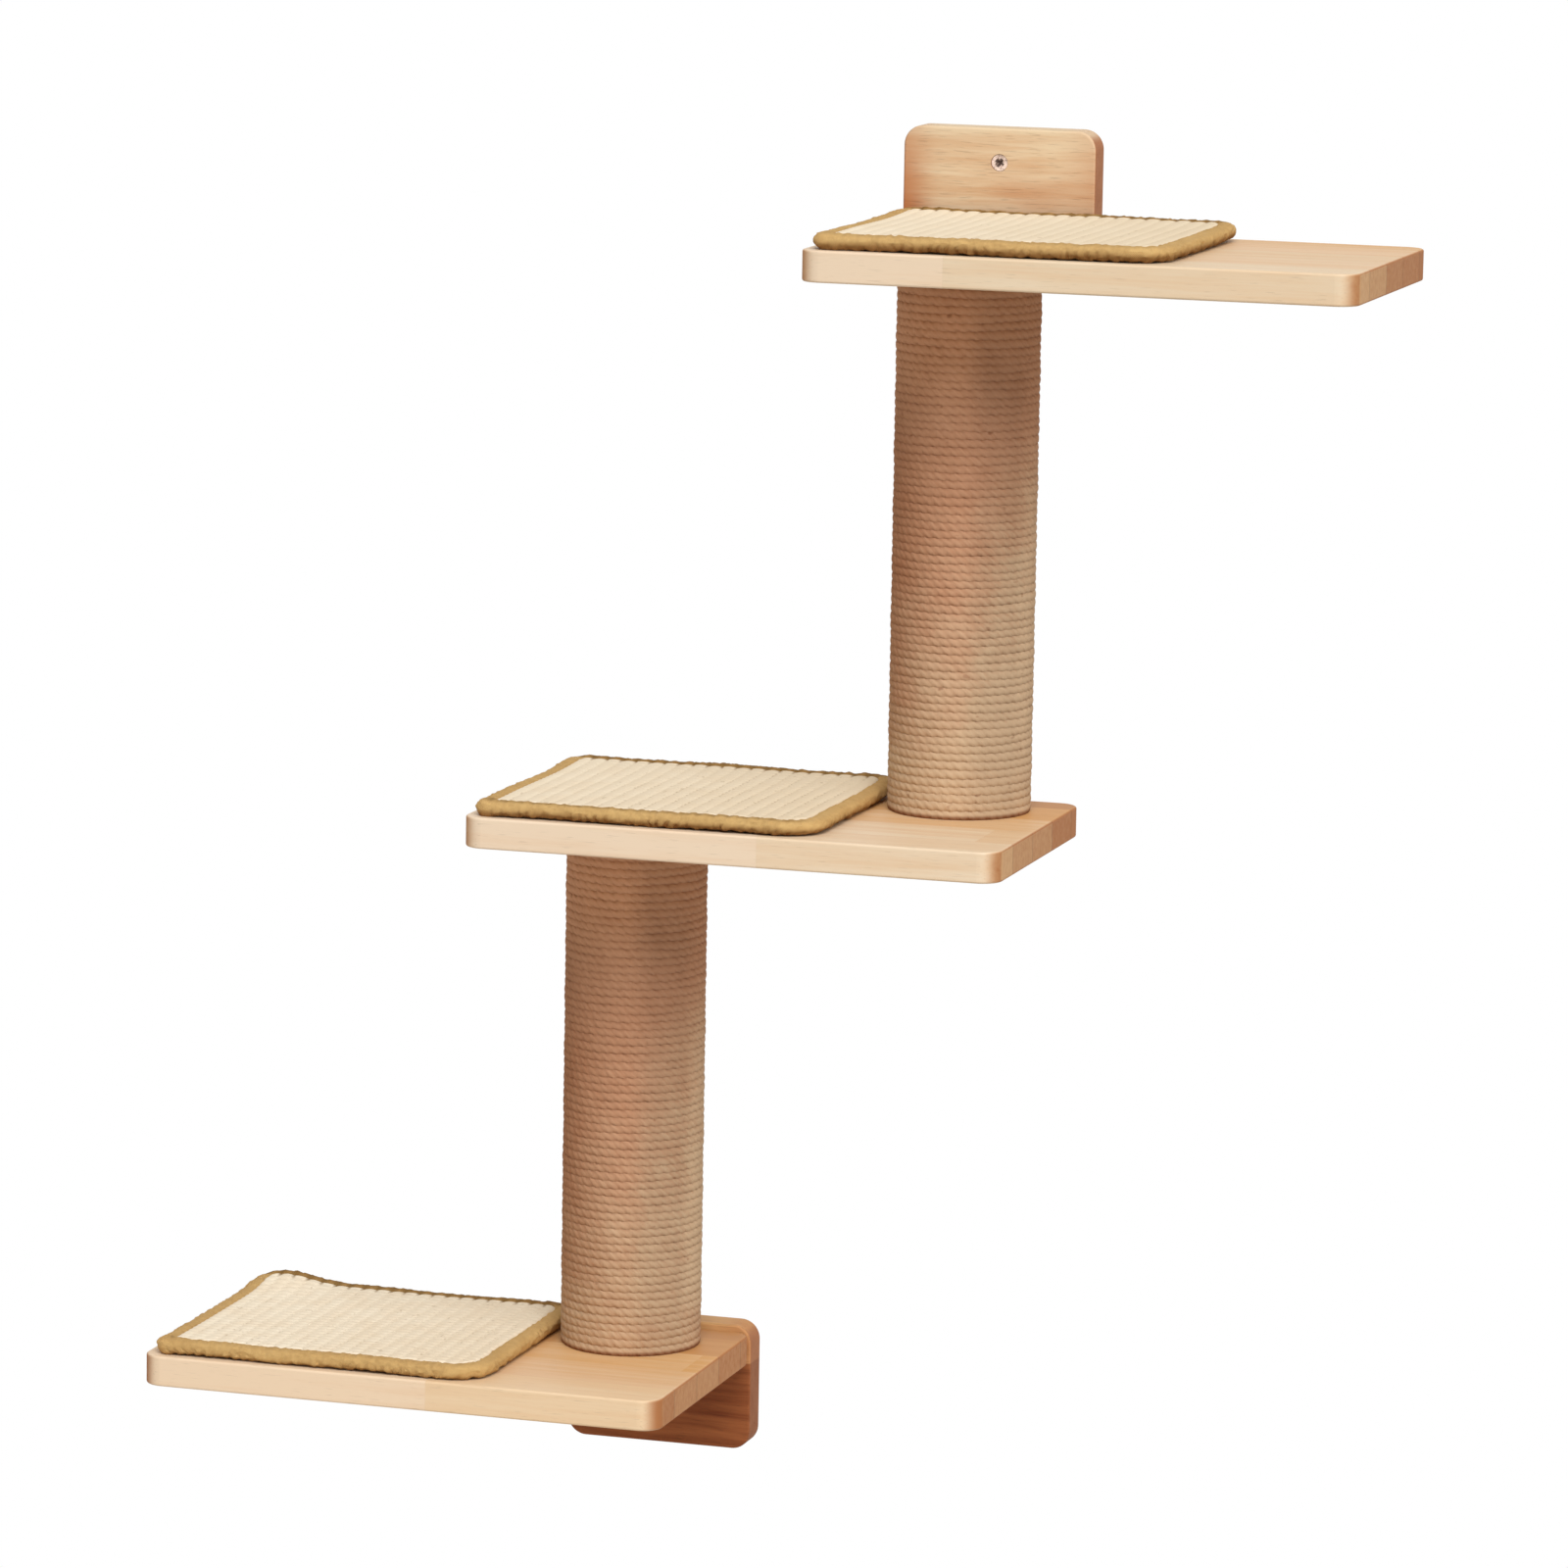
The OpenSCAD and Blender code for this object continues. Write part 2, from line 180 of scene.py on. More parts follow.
class ShelfColours(bpy.types.PropertyGroup):
    """Colours of the finishes."""

    lower_pale: colour("Lower board, pale", "Palest staves of the lower board", 234, 212, 180)
    middle_pale: colour("Middle board, pale", "Palest staves of the middle board", 233, 217, 192)
    upper_pale: colour("Upper board, pale", "Palest staves of the upper board", 226, 210, 184)
    board_tan: colour("Board, tan", "Deepest staves and streaks of the boards", 211, 163, 104)
    board_blush: colour("Board, blush", "Pinkish staves of the boards", 234, 211, 187)
    end_pale: colour("Board, pale end grain", "Palest end grain of the boards", 216, 178, 132)
    board_end: colour("Board, end grain", "Ends of the boards", 170, 112, 67)
    upper_plate: colour("Upper plate, pale", "Pale streaks of the upper wall plate", 222, 201, 169)
    lower_plate: colour("Lower plate, pale", "Pale streaks of the lower wall plate", 212, 170, 116)
    plate_tan: colour("Plate, tan", "Deep streaks of the wall plates", 196, 146, 100)
    plate_red: colour("Plate, red", "Reddish patches of the wall plates", 182, 114, 68)
    # Plate, deep: darker end grain streaks, and the board's painted shadow on the lower part of each plate,
    # where the knots lie.
    plate_deep: colour("Plate, deep", "Dark lower stave of the wall plates", 98, 40, 10)
    plate_knot: colour("Plate, knots", "Small knots in the dark stave", 70, 36, 18)
    plate_end: colour("Plate, end grain", "Ends of the wall plates", 172, 116, 80)
    plug_pale: colour("Plug, pale", "Pale streaks of the post plugs", 226, 192, 146)
    plug_tan: colour("Plug, tan", "Deep streaks of the post plugs", 196, 152, 102)
    rope_straw: colour("Rope, straw", "Outside of the rope", 200, 155, 124)
    # Painted light on the rope, towards the foot and on the right flank.
    rope_foot: colour("Rope, foot", "Paler rope towards the foot of a post", 204, 176, 144)
    rope_brown: colour("Rope, brown", "Deeper fibres of the rope", 172, 119, 86)
    rope_pale: colour("Rope, pale", "Single pale fibres of the rope", 212, 180, 148)
    # Painted shade in the rope's grooves and at its foot, and the rope's own dark specks.
    rope_specks_and_shade: colour("Rope, grooves", "Bottom of the grooves between the turns", 132, 84, 54)
    tube_card: colour("Tube", "Card tube inside each post", 168, 130, 92)
    weave_cream: colour("Weave, cream", "Crests of the woven ribs", 244, 235, 215)
    weave_blush: colour("Weave, blush", "Warmer yarns of the weave", 238, 224, 200)
    weave_shade: colour("Weave, shade", "Grooves of the weave", 226, 211, 184)
    # Dark flecks and dots of the weave, and painted shade in its grooves near the back edge.
    weave_fleck: colour("Weave, flecks", "Dark flecks and dots of the weave", 150, 126, 94)
    binding_gold: colour("Binding, gold", "Outside of the rolled binding", 234, 197, 132)
    binding_tan: colour("Binding, tan", "Deeper threads of the binding", 192, 148, 90)
    binding_top: colour("Binding, top", "Top of the rolled binding", 222, 187, 126)
    # Painted shade of the rib ends on the binding.
    binding_olive: colour("Binding, olive", "Scallops of the binding where the ribs end", 134, 102, 54)
    # Painted shade on the underside, along the back edge and in the pleats of the binding.
    binding_under: colour("Binding, under", "Underside of the rolled binding", 140, 92, 44)
    # Painted shade in the crease between the binding and the weave.
    binding_seam: colour("Binding, seam", "Seam between the binding and the weave", 122, 88, 50)
    tape_hook: colour("Hook tape", "Hook tape on the boards", 70, 62, 54)
    tape_loop: colour("Loop tape", "Loop tape under the mats", 96, 86, 74)
    steel: colour("Steel", "Zinc-plated bolts and screws", 224, 204, 192)
    steel_dull: colour("Steel, dull", "Dull spots of the zinc", 176, 154, 142)
    screw_pale: colour("Screw, pale", "Heads of the wall screws", 248, 226, 214)
    # Painted shade in the cross of the wall screws' heads.
    screw_cross_shade: colour("Screw, cross", "Cross in the heads of the wall screws", 58, 32, 24)
    brass: colour("Brass", "Threaded inserts", 204, 164, 92)
    brass_dull: colour("Brass, dull", "Tarnish on the inserts", 142, 106, 56)
    floor: colour("Floor", "Pale floor", 236, 234, 230)
    floor_grain: colour("Floor, grain", "Fine grain of the floor", 222, 220, 214)


class ShelfView(bpy.types.PropertyGroup):
    """Where the camera stands."""

    turn: angle("Turn", "How far right of the front", 16.99)
    rise: angle("Rise", "Height over the horizon", 9.346)
    roll: angle("Roll", "Tilt of the picture", 0.98)
    lens: FloatProperty(name="Lens", description="Focal length", default=170.806, unit="CAMERA")
    sensor: FloatProperty(name="Sensor", description="Width of the sensor", default=36, unit="CAMERA")
    distance: length("Distance", "From the aim to the camera", 4.52569)
    aim: positions("Aim", "Point in the middle of the picture", -0.10251, -0.11, -0.37542)


class Wire:
    """A socket of a node tree. Sums of wires add Math nodes, and node() adds any other node."""

    def __init__(self, tree, socket=None):
        self.tree = tree
        self.socket = socket

    def node(self, kind, settings=None, sockets=None, out=0):
        """Adds a node: its settings first, then its sockets' values or links. Returns one output."""
        made = self.tree.nodes.new(kind)
        for name, value in (settings or {}).items():
            setattr(made, name, value)
        for key, value in (sockets or {}).items():
            if isinstance(value, Wire):
                self.tree.links.new(value.socket, made.inputs[key])
            else:
                made.inputs[key].default_value = value
        return Wire(self.tree, made.outputs[out]) if made.outputs else None

    def out(self, name):
        """Another output of the same node."""
        return Wire(self.tree, self.socket.node.outputs[name])

    def axes(self):
        """The three parts of this vector."""
        first = self.node("ShaderNodeSeparateXYZ", None, {0: self})
        return first, first.out(1), first.out(2)

    def maths(self, operation, *others):
        """One Math node with this wire first."""
        return self.node("ShaderNodeMath", {"operation": operation}, dict(enumerate((self, *others))))

    def __add__(self, other):
        return self.maths("ADD", other)

    def __radd__(self, other):
        return self.maths("ADD", other)

    def __sub__(self, other):
        return self.maths("SUBTRACT", other)

    def __rsub__(self, other):
        return self.node("ShaderNodeMath", {"operation": "SUBTRACT"}, {0: other, 1: self})

    def __mul__(self, other):
        return self.maths("MULTIPLY", other)

    def __rmul__(self, other):
        return self.maths("MULTIPLY", other)

    def __truediv__(self, other):
        return self.maths("DIVIDE", other)

    def __pow__(self, other):
        return self.maths("POWER", other)

    def __abs__(self):
        return self.maths("ABSOLUTE")

    def floor(self):
        return self.maths("FLOOR")

    def fraction(self):
        return self.maths("FRACT")

    def wave(self):
        """Cosine that repeats each time this wire grows by 1, from 0 to 1."""
        return 0.5 + 0.5 * (self * FULL_TURN).maths("COSINE")

    def ramp(self, low, high):
        """A smooth step from 0 at low to 1 at high."""
        return self.node(
            "ShaderNodeMapRange",
            {"interpolation_type": "SMOOTHSTEP"},
            {"Value": self, "From Min": low, "From Max": high},
        )

    def blend(self, first, second):
        """The mix of two colours by this wire."""
        return self.node(
            "ShaderNodeMix",
            {"data_type": "RGBA", "clamp_factor": True},
            {0: self, 6: rgba(first), 7: rgba(second)},
            out=2,
        )

    def shaded(self, amount):
        """This colour times a grey amount."""
        grey = self.point(amount, amount, amount)
        return self.node("ShaderNodeVectorMath", {"operation": "MULTIPLY"}, {0: self, 1: grey})

    def point(self, x, y, z):
        """A vector of three wires or numbers."""
        return self.node("ShaderNodeCombineXYZ", None, {0: x, 1: y, 2: z})

    def grain(self, place, fineness, shift=(0, 0, 0), detail=2, roughness=0.5, distortion=0):
        """Noise from 0 to 1: so many grains to a unit along each axis, and each axis moved by its shift."""
        if not isinstance(fineness, tuple):
            fineness = (fineness,) * 3
        axes = []
        for axis, share, move in zip(place, fineness, shift):
            scaled = axis * share
            axes.append(scaled + move if move else scaled)
        sockets = {
            "Vector": self.point(*axes),
            "Scale": 1,
            "Detail": detail,
            "Roughness": roughness,
            "Distortion": distortion,
        }
        return self.node("ShaderNodeTexNoise", None, sockets)

    def chance(self, where):
        """A random number from 0 to 1 that stays the same for the same vector."""
        return self.node("ShaderNodeTexWhiteNoise", {"noise_dimensions": "3D"}, {"Vector": where})


def rgba(shade):
    """A colour as a node takes it."""
    return shade if isinstance(shade, Wire) else (*shade, 1)


def new_material(name):
    """An empty material and a wire into its nodes."""
    material = bpy.data.materials.new(name)
    material.use_nodes = True
    material.node_tree.nodes.clear()
    return material, Wire(material.node_tree)


def finish_surface(wire, base, roughness, height, depth, strength, specular=0.5, metallic=0):
    """The shader of a surface, with its bump and the values that are the same all over."""
    bump = wire.node("ShaderNodeBump", None, {"Strength": strength, "Distance": depth, "Height": height})
    sockets = {
        "Base Color": rgba(base),
        "Roughness": roughness,
        "Normal": bump,
        "Specular IOR Level": specular,
        "Metallic": metallic,
    }
    shader = wire.node("ShaderNodeBsdfPrincipled", None, sockets)
    wire.node("ShaderNodeOutputMaterial", None, {"Surface": shader})


def place_axes(wire):
    """The object coordinates, as three wires."""
    return wire.node("ShaderNodeTexCoord", None, None, "Object").axes()


def facing_axes(wire):
    """The way that a surface faces, as three wires."""
    return wire.node("ShaderNodeNewGeometry", None, None, "Normal").axes()


def strip_axes(wire):
    """The run along a rolled strip and the way round it, as two wires."""
    return wire.node("ShaderNodeUVMap", {"uv_map": "UVMap"}).axes()[:2]


def seen_rays(wire):
    """One where the camera, a mirror or glass looks."""
    path = wire.node("ShaderNodeLightPath", None, None, "Is Camera Ray")
    rays = path.maths("MAXIMUM", path.out("Is Glossy Ray"))
    return rays.maths("MAXIMUM", path.out("Is Transmission Ray"))


def timber_material(name, shades, stave, joint, front, first, back_tone_and_shade, end_tone, stride):
    """Edge-glued timber, its grain along x: staves, end joints, streaks, pores and darker end grain."""
    pale, tan, blush, fresh, end = shades
    end_start, end_grow = end_tone
    material, wire = new_material(name)
    place = x, y, z = place_axes(wire)
    across = (y - front) / stave
    row = across.floor()
    along = (x - first) / joint + (row * stride).fraction()
    piece = along.floor()
    # Each stave has a tone and a hue of its own.
    tone = (piece * 0.37 + row * stride + 0.5).fraction()
    hue = (piece * 0.61 + row * stride * 1.7 + 0.35).fraction()
    drift = (wire.grain(place, (9, 30, 30), detail=1) - 0.5) * 0.006
    streaks = wire.grain((x, y + drift, z + drift), (5, 120, 120), (tone * 9, hue * 7, 0), detail=4)
    lines = wire.grain(place, (22, 620, 620), (hue * 5, tone * 9, 0), detail=3, roughness=0.6)
    pores = wire.grain(place, (75, 1500, 1500), detail=1).ramp(0.63, 0.74)
    rings = wire.grain(place, (30, 260, 260), (0, tone * 9, 0), detail=3)
    endward, _, upward = facing_axes(wire)
    ends = abs(endward).ramp(0.2, 0.92)
    corner = ends * (1 - abs(endward).ramp(0.96, 0.995))
    seam_across = (0.5 - abs(across.fraction() - 0.5)) * stave
    seam_along = (0.5 - abs(along.fraction() - 0.5)) * joint
    seam = 1 - seam_across.maths("MINIMUM", seam_along * 2).ramp(0.0001, 0.0004)
    glue = ends * (1 - seam_across.ramp(0.0003, 0.0012))
    # The staves towards the back are deeper in colour, partly by their own tone and partly by painted
    # shade, which is stronger on their top faces.
    back = (y - front).ramp(0, stave * 2.5)
    deeper = ((row / 3) ** 4 + upward.ramp(0.4, 0.95) * back * 0.4) * back_tone_and_shade + piece * 0.1
    depth = tone * 0.24 + streaks * 0.7 + lines * 0.4 + deeper - 0.46
    pinkish = hue.ramp(0.3, 0.9) * 0.6 + streaks * 0.4 - 0.2
    wood = pinkish.blend(depth.blend(pale, tan), depth.blend(blush, tan))
    face = ((depth - 0.9).ramp(0, 1.6) * 0.6).blend(wood, end)
    blunt = (rings * 0.6 + hue * 0.3 - row * end_grow - end_start - corner * 0.5 + 0.3).blend(end, fresh)
    shade = 1 - pores * (1 - ends) * 0.16 - seam * 0.05 - glue * 0.22 - ends * pores * 0.1
    base = ends.blend(face, blunt).shaded(shade)
    rough = 0.5 + streaks * 0.12 + ends * 0.12
    height = lines * 0.5 - pores * 0.6 - seam * 0.2
    finish_surface(wire, base, rough, height, depth=0.00012, strength=0.35, specular=0.35)
    return material


def plate_material(name, colours, pale, joint, reach, seed):
    """Timber of a wall plate: a seam, below it the board's painted shadow with knots, wavy dark streaks,
    pores, red ends.
    """
    left, right = reach
    material, wire = new_material(name)
    place = x, y, z = place_axes(wire)
    drift = wire.grain(place, (14, 18, 22), (seed, 0, 0)) - 0.5
    bent = (x, y, z + drift * 0.006)
    streaks = wire.grain(bent, (7, 90, 120), (seed, 0, 0), detail=4, roughness=0.6)
    lines = wire.grain(bent, (26, 500, 620), (0, 0, seed), detail=3, roughness=0.65)
    pores = wire.grain(bent, (70, 1200, 1300), detail=1).ramp(0.58, 0.7)
    warm = wire.grain((x, 0, z), (11, 0, 16), (seed, 0, 0)).ramp(0.48, 0.72)
    knots = wire.grain(place, (55, 60, 150), (seed, 0, 0), detail=1).ramp(0.7, 0.8)
    ends = abs(facing_axes(wire)[0]).ramp(0.55, 0.95)
    over = z - joint
    # Below the joint the plate is painted dark as the painted shadow of the board over it; the knots lie in
    # that painted shadow.
    under = (joint - z).ramp(0, 0.0006)
    seam = 1 - abs(over).ramp(0.0001, 0.0005)
    depth = streaks.ramp(0.3, 0.72) * 0.7 + lines * 0.5 - over * 6 * (1 - under) - 0.02
    edges = (1 - (x - left).ramp(-0.004, 0.026)) * 0.85 + (x - right).ramp(-0.03, 0.004) * 0.5
    red = warm * 0.4 + edges * (1 - over.ramp(0.05, 0.08) * 0.5)
    upper = red.blend(depth.blend(pale, colours.plate_tan), colours.plate_red)
    lower = (depth * 0.7 + 0.2).blend(colours.plate_red, colours.plate_deep)
    face = under.blend(upper, (knots * 0.7).blend(lower, colours.plate_knot))
    blunt = (streaks * 0.5 + under * 0.35 - 0.2).blend(colours.plate_end, colours.plate_deep)
    base = ends.blend(face, blunt).shaded(1 - pores * 0.2 - seam * 0.15)
    rough = 0.52 + streaks * 0.12 + ends * 0.1
    height = lines * 0.5 - pores * 0.7 - seam * 0.5
    finish_surface(wire, base, rough, height, depth=0.00014, strength=0.4, specular=0.22)
    return material


def rope_material(name, colours, sizes, post):
    """Sisal rope: fibres along the strands, pale and brown yarns, dark specks, broken lines of painted
    shade between the turns.
    """
    plan = post_plan(post)
    material, wire = new_material(name)
    place = x, y, z = place_axes(wire)
    u, v = strip_axes(wire)
    # The light and shade that the photograph shows on a post are painted on, by height and by side.
    # The side is -1 at the post's left flank and 1 at its right one.
    rise = (z - plan.foot) / (plan.head - plan.foot)
    east = x - plan.x
    side = (east * math.cos(sizes.shade_turn) + (y - plan.y) * math.sin(sizes.shade_turn)) / plan.outer
    lit = (1.3 - rise.ramp(0.45, 0.9) * 1.6 - (1 - rise.ramp(0.02, 0.16)) * 1.6).maths("MAXIMUM", -0.3)
    flank = (side.ramp(0.65, 1) + side.ramp(-1, -0.3) - 1) * lit
    dusk = side.ramp(-0.15, 0.35) * (1 - side.ramp(0.62, 0.92)) * (1 - rise.ramp(0.76, 0.92))
    glow = rise.ramp(0.7, 0.87) * (1 - rise.ramp(0.9, 1) * 0.65) * (1 - side.ramp(-0.2, 0.3))
    # A turn meets the next one where it is sunk into it.
    sunk = rope_pitch(sizes, plan) / rope_thickness(sizes, plan)
    edge = (1 + math.sqrt(1 - sunk**2)) / 2
    groove = 1 - (1 - (u + v).wave()).ramp(edge - 0.02, edge + 0.2)
    # Painted shade where the rope's foot meets the board.
    contact_shade = 1 - (z - plan.foot).ramp(0.0008, 0.0034)
    strand = (v * 3).wave()
    fibres = wire.grain((u, v, z), (2.4, 26, 20), detail=3, roughness=0.7)
    broken = wire.grain((u, v, z), (1.3, 4, 9)).ramp(0.3, 0.7)
    patches = wire.grain(place, (40, 40, 55))
    single = wire.grain((u, v, 0), (3.5, 45, 0), detail=1).ramp(0.62, 0.72)
    specks = wire.grain(place, (130, 130, 210), detail=1).ramp(0.73, 0.79)
    low = 1 - (rise + (patches - 0.5) * 0.3).ramp(0, 0.6)
    paler = low + (east / plan.outer * lit).ramp(0.2, 1) * 0.7
    straw = paler.blend(colours.rope_straw, colours.rope_foot)
    brown = fibres * 1.3 + patches * 0.4 - strand * 0.1 - 0.45
    lighter = low * sizes.foot_pales[POSTS.index(post)] + flank * 0.34 + rise.ramp(0.6, 0.95) * 0.3
    yarn = (brown - lighter).blend(straw, colours.rope_brown)
    light = (single * 0.3).blend(yarn, colours.rope_pale)
    # Painted shade in the grooves between the turns, stronger higher up.
    deep = (0.48 - strand * 0.24) * (0.2 + broken * 0.8) * (0.65 + rise * 0.55)
    dark = groove * deep + specks * 0.35 + contact_shade * 0.8
    base = dark.blend(light, colours.rope_specks_and_shade).shaded(1 - dusk * 0.16 + glow * 0.28)
    height = fibres + strand * 0.4
    finish_surface(wire, base, 0.85, height, depth=0.0004, strength=0.6, specular=0.2)
    return material


def weave_material(name, colours, sizes, level):
    """Woven sisal: cream ribs of twisted yarn with dimples between their knots, darker to the right."""
    mat = mat_plan(level)
    yarn_pitch = 0.0021
    material, wire = new_material(name)
    place = x, y, _ = place_axes(wire)
    north = y - mat.y
    across = rib_phase(sizes, x - mat.x, mat)
    rib = across.floor()
    inside = across.fraction() - 0.5
    groove = (abs(inside) * 2).ramp(0.55, 1)
    # Every second rib has its knots half a pitch further on and its yarn twisted the other way.
    odd = (rib * 0.5).fraction() * 2
    along = north / sizes.knot_pitch + odd * 0.5
    twist = (y / yarn_pitch + inside * (odd * 2 - 1) * 2.4).wave()
    uneven = wire.chance(wire.point(rib, along.floor(), 5))
    fibres = wire.grain(place, (900, 420, 300), detail=3, roughness=0.65)
    patches = wire.grain(place, 26, detail=3)
    warm = wire.grain(place, (60, 45, 60)).ramp(0.35, 0.7)
    flecks = wire.grain(place, (260, 150, 200), detail=1).ramp(0.7, 0.78)
    patchy = wire.grain(place, 17).ramp(0.4, 0.66)
    dots = groove * along.wave().ramp(0.5, 0.95) * uneven.ramp(0.35, 0.9) * patchy
    far = mat.half_y - panel_rim(sizes)
    # Painted shade in the rib grooves near the mat's back edge.
    back_groove_shade = groove * north.ramp(far - 0.009, far - 0.003)
    # Darker towards the right, with painted shade that differs from mat to mat.
    darker = (across / sizes.weave_ribs - 0.5) * 0.6 + sizes.weave_darks[LEVELS.index(level)]
    dark = groove * 0.05 + (1 - twist) * 0.14 + fibres * 0.4 + patches * 0.4 + darker - 0.3
    cream = (warm * 0.6).blend(colours.weave_cream, colours.weave_blush)
    cloth = dark.blend(cream, colours.weave_shade)
    base = (dots * 0.5 + flecks * 0.3 + back_groove_shade * 0.9).blend(cloth, colours.weave_fleck)
    height = twist * 0.6 + fibres * 0.7 - groove * 0.3
    finish_surface(wire, base, 0.9, height, depth=0.0004, strength=0.6, specular=0.2)
    return material


def binding_material(name, colours, sizes, level, girth):
    """Tan cotton binding, gold outside and fuzzy, with painted shade below, at the back, in pleats, crease
    and rib-end scallops.
    """
    mat = mat_plan(level)
    clearness = sizes.front_scallop_shades[LEVELS.index(level)]
    brown = sizes.binding_browns[LEVELS.index(level)]
    twill_pitch, twill_lean, pleat_pitch = 0.0009, 0.025, 0.0056
    material, wire = new_material(name)
    place = x, y, _ = place_axes(wire)
    u, v = strip_axes(wire)
    north = y - mat.y
    along = u * girth
    # Round the roll: 0 at its outer side, positive over its top and negative below.
    around = (v + 0.5).fraction() - 0.5
    twill = ((along + around * twill_lean) / twill_pitch).wave()
    soft = wire.grain((along, around, 0), (330, 6, 0), detail=3, roughness=0.65)
    fuzz = wire.grain(place, 1300, roughness=0.6)
    patches = wire.grain(place, (38, 38, 90), detail=3)
    uneven = around + (soft - 0.5) * 0.07 + (patches - 0.5) * 0.05
    strip = abs(north).ramp(mat.half_y - 0.013, mat.half_y - 0.009)
    ribs = rib_phase(sizes, x - mat.x, mat).wave()
    clear = 1 - (mat.y - y).ramp(0, 0.01) * (1 - clearness)
    # Painted shade of the rib ends on the binding's inner edge, weaker at the front of some mats.
    scallop = strip * uneven.ramp(0.15, 0.22) * (0.5 + ribs * 0.5) * clear
    # Painted shade in the crease between the binding and the weave.
    seam = around.ramp(0.4, 0.47) * (0.2 + clear * 0.5)
    # Painted shade on the underside of the roll.
    below = (0 - uneven).ramp(0.08 - brown, 0.22 - brown)
    # Painted shade along the mat's back edge.
    back_edge_shade = north.ramp(mat.half_y - 0.014, mat.half_y - 0.006) * 0.6
    pleats = (along / pleat_pitch + patches * 3).wave().ramp(0.5, 0.95) * patches.ramp(0.42, 0.6)
    # Painted shade in the pleats on the lower part of the roll.
    tuck = pleats * (0.03 - uneven).ramp(0, 0.08)
    dark = soft * 0.8 + patches * 0.6 + fuzz * 0.5 + (1 - twill) * 0.1 - 0.72
    gold = dark.blend(colours.binding_gold, colours.binding_tan)
    rolled = (below * 0.8 + back_edge_shade + tuck * (0.1 + clearness * 0.5)).blend(gold, colours.binding_under)
    crown = (dark + back_edge_shade).blend(colours.binding_top, colours.binding_tan)
    cloth = (scallop * 0.85).blend(around.ramp(0.1, 0.2).blend(rolled, crown), colours.binding_olive)
    base = seam.blend(cloth, colours.binding_seam)
    height = twill * 0.3 + soft + fuzz * 0.5 - tuck * 0.8
    finish_surface(wire, base, 0.9, height, depth=0.0012, strength=0.9, specular=0.2)
    return material


def tape_material(name, shade, loops):
    """Hook or loop tape: close rows of hooks, or a tangle of fine loops, on a woven ground."""
    hook_pitch_x, hook_pitch_y = 0.0016, 0.0013
    material, wire = new_material(name)
    place = x, y, _ = place_axes(wire)
    tangle = wire.grain(place, (1400, 1400, 400), detail=3, roughness=0.7, distortion=loops)
    rows = (x / hook_pitch_x).wave() * (y / hook_pitch_y).wave()
    nap = tangle if loops else rows * 0.7 + tangle * 0.3
    pale = tuple(min(1, part * 2.1) for part in shade)
    base = nap.ramp(0.25, 0.8).blend(shade, pale)
    finish_surface(wire, base, 0.7, nap, depth=0.0006, strength=0.8)
    return material


def metal_material(name, bright, dull, roughness):
    """Plated metal with dull spots and fine turning marks."""
    material, wire = new_material(name)
    place = place_axes(wire)
    spots = wire.grain(place, 420, detail=3)
    marks = wire.grain(place, (2600, 300, 2600))
    base = spots.ramp(0.42, 0.7).blend(bright, dull)
    rough = roughness + spots * 0.14
    finish_surface(wire, base, rough, marks, depth=0.00004, strength=0.35, metallic=0.85)
    return material


def screw_material(name, colours, sizes, node):
    """Plated wall screw: a pale head with painted shade in the cross where it is cut."""
    low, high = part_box(node)
    lean = sizes.screw_lean
    material, wire = new_material(name)
    place = x, y, z = place_axes(wire)
    spots = wire.grain(place, 500, detail=3)
    marks = wire.grain(place, (2600, 300, 2600))
    east = x - (low.x + high.x) / 2
    up = z - (low.z + high.z) / 2
    first = abs(east * math.cos(lean) + up * math.sin(lean))
    second = abs(up * math.cos(lean) - east * math.sin(lean))
    long = 1 - first.maths("MAXIMUM", second).ramp(0.0026, 0.0032)
    narrow = 1 - first.maths("MINIMUM", second).ramp(0.0006, 0.0011)
    # Painted shade in the cross recess of the head.
    cross = long * narrow * (low.y + sizes.cross_shade_depth - y).ramp(0, 0.0002)
    plated = spots.ramp(0.42, 0.7).blend(colours.screw_pale, colours.steel_dull)
    base = (cross * 0.92).blend(plated, colours.screw_cross_shade)
    rough = 0.34 + spots * 0.14 + cross * 0.3
    finish_surface(wire, base, rough, marks, depth=0.00004, strength=0.35, metallic=0.3)
    return material


def card_material(name, shade):
    """Wound card tube: spiral seams and short paper fibres."""
    spiral_pitch = 0.06
    material, wire = new_material(name)
    place = x, y, z = place_axes(wire)
    fibres = wire.grain(place, (500, 500, 220), detail=3, roughness=0.7)
    bearing = y.maths("ARCTAN2", x) / FULL_TURN
    seam = (z / spiral_pitch + bearing).wave().ramp(0.985, 0.998)
    dark = tuple(part * 0.7 for part in shade)
    base = (fibres.ramp(0.3, 0.75) * 0.7 + seam * 0.3).blend(shade, dark)
    finish_surface(wire, base, 0.85, fibres - seam, depth=0.0001, strength=0.5)
    return material


def floor_material(name, colours, middle, radius):
    """Pale floor that turns white towards its rim, where the camera sees it."""
    material, wire = new_material(name)
    x, y, _ = place_axes(wire)
    east, north = x - middle.x, y - middle.y
    out = (east * east + north * north) ** 0.5
    fine = wire.grain((x, y, 0), (60, 60, 0), detail=3)
    base = (fine * 0.12).blend(colours.floor, colours.floor_grain)
    matt = wire.node("ShaderNodeBsdfDiffuse", None, {"Color": base})
    white = wire.node("ShaderNodeEmission", None, {"Color": WHITE, "Strength": 1})
    rim = out.ramp(radius * 0.55, radius * 0.97) * seen_rays(wire)
    mixed = wire.node("ShaderNodeMixShader", None, {0: rim, 1: matt, 2: white})
    wire.node("ShaderNodeOutputMaterial", None, {"Surface": mixed})
    return material


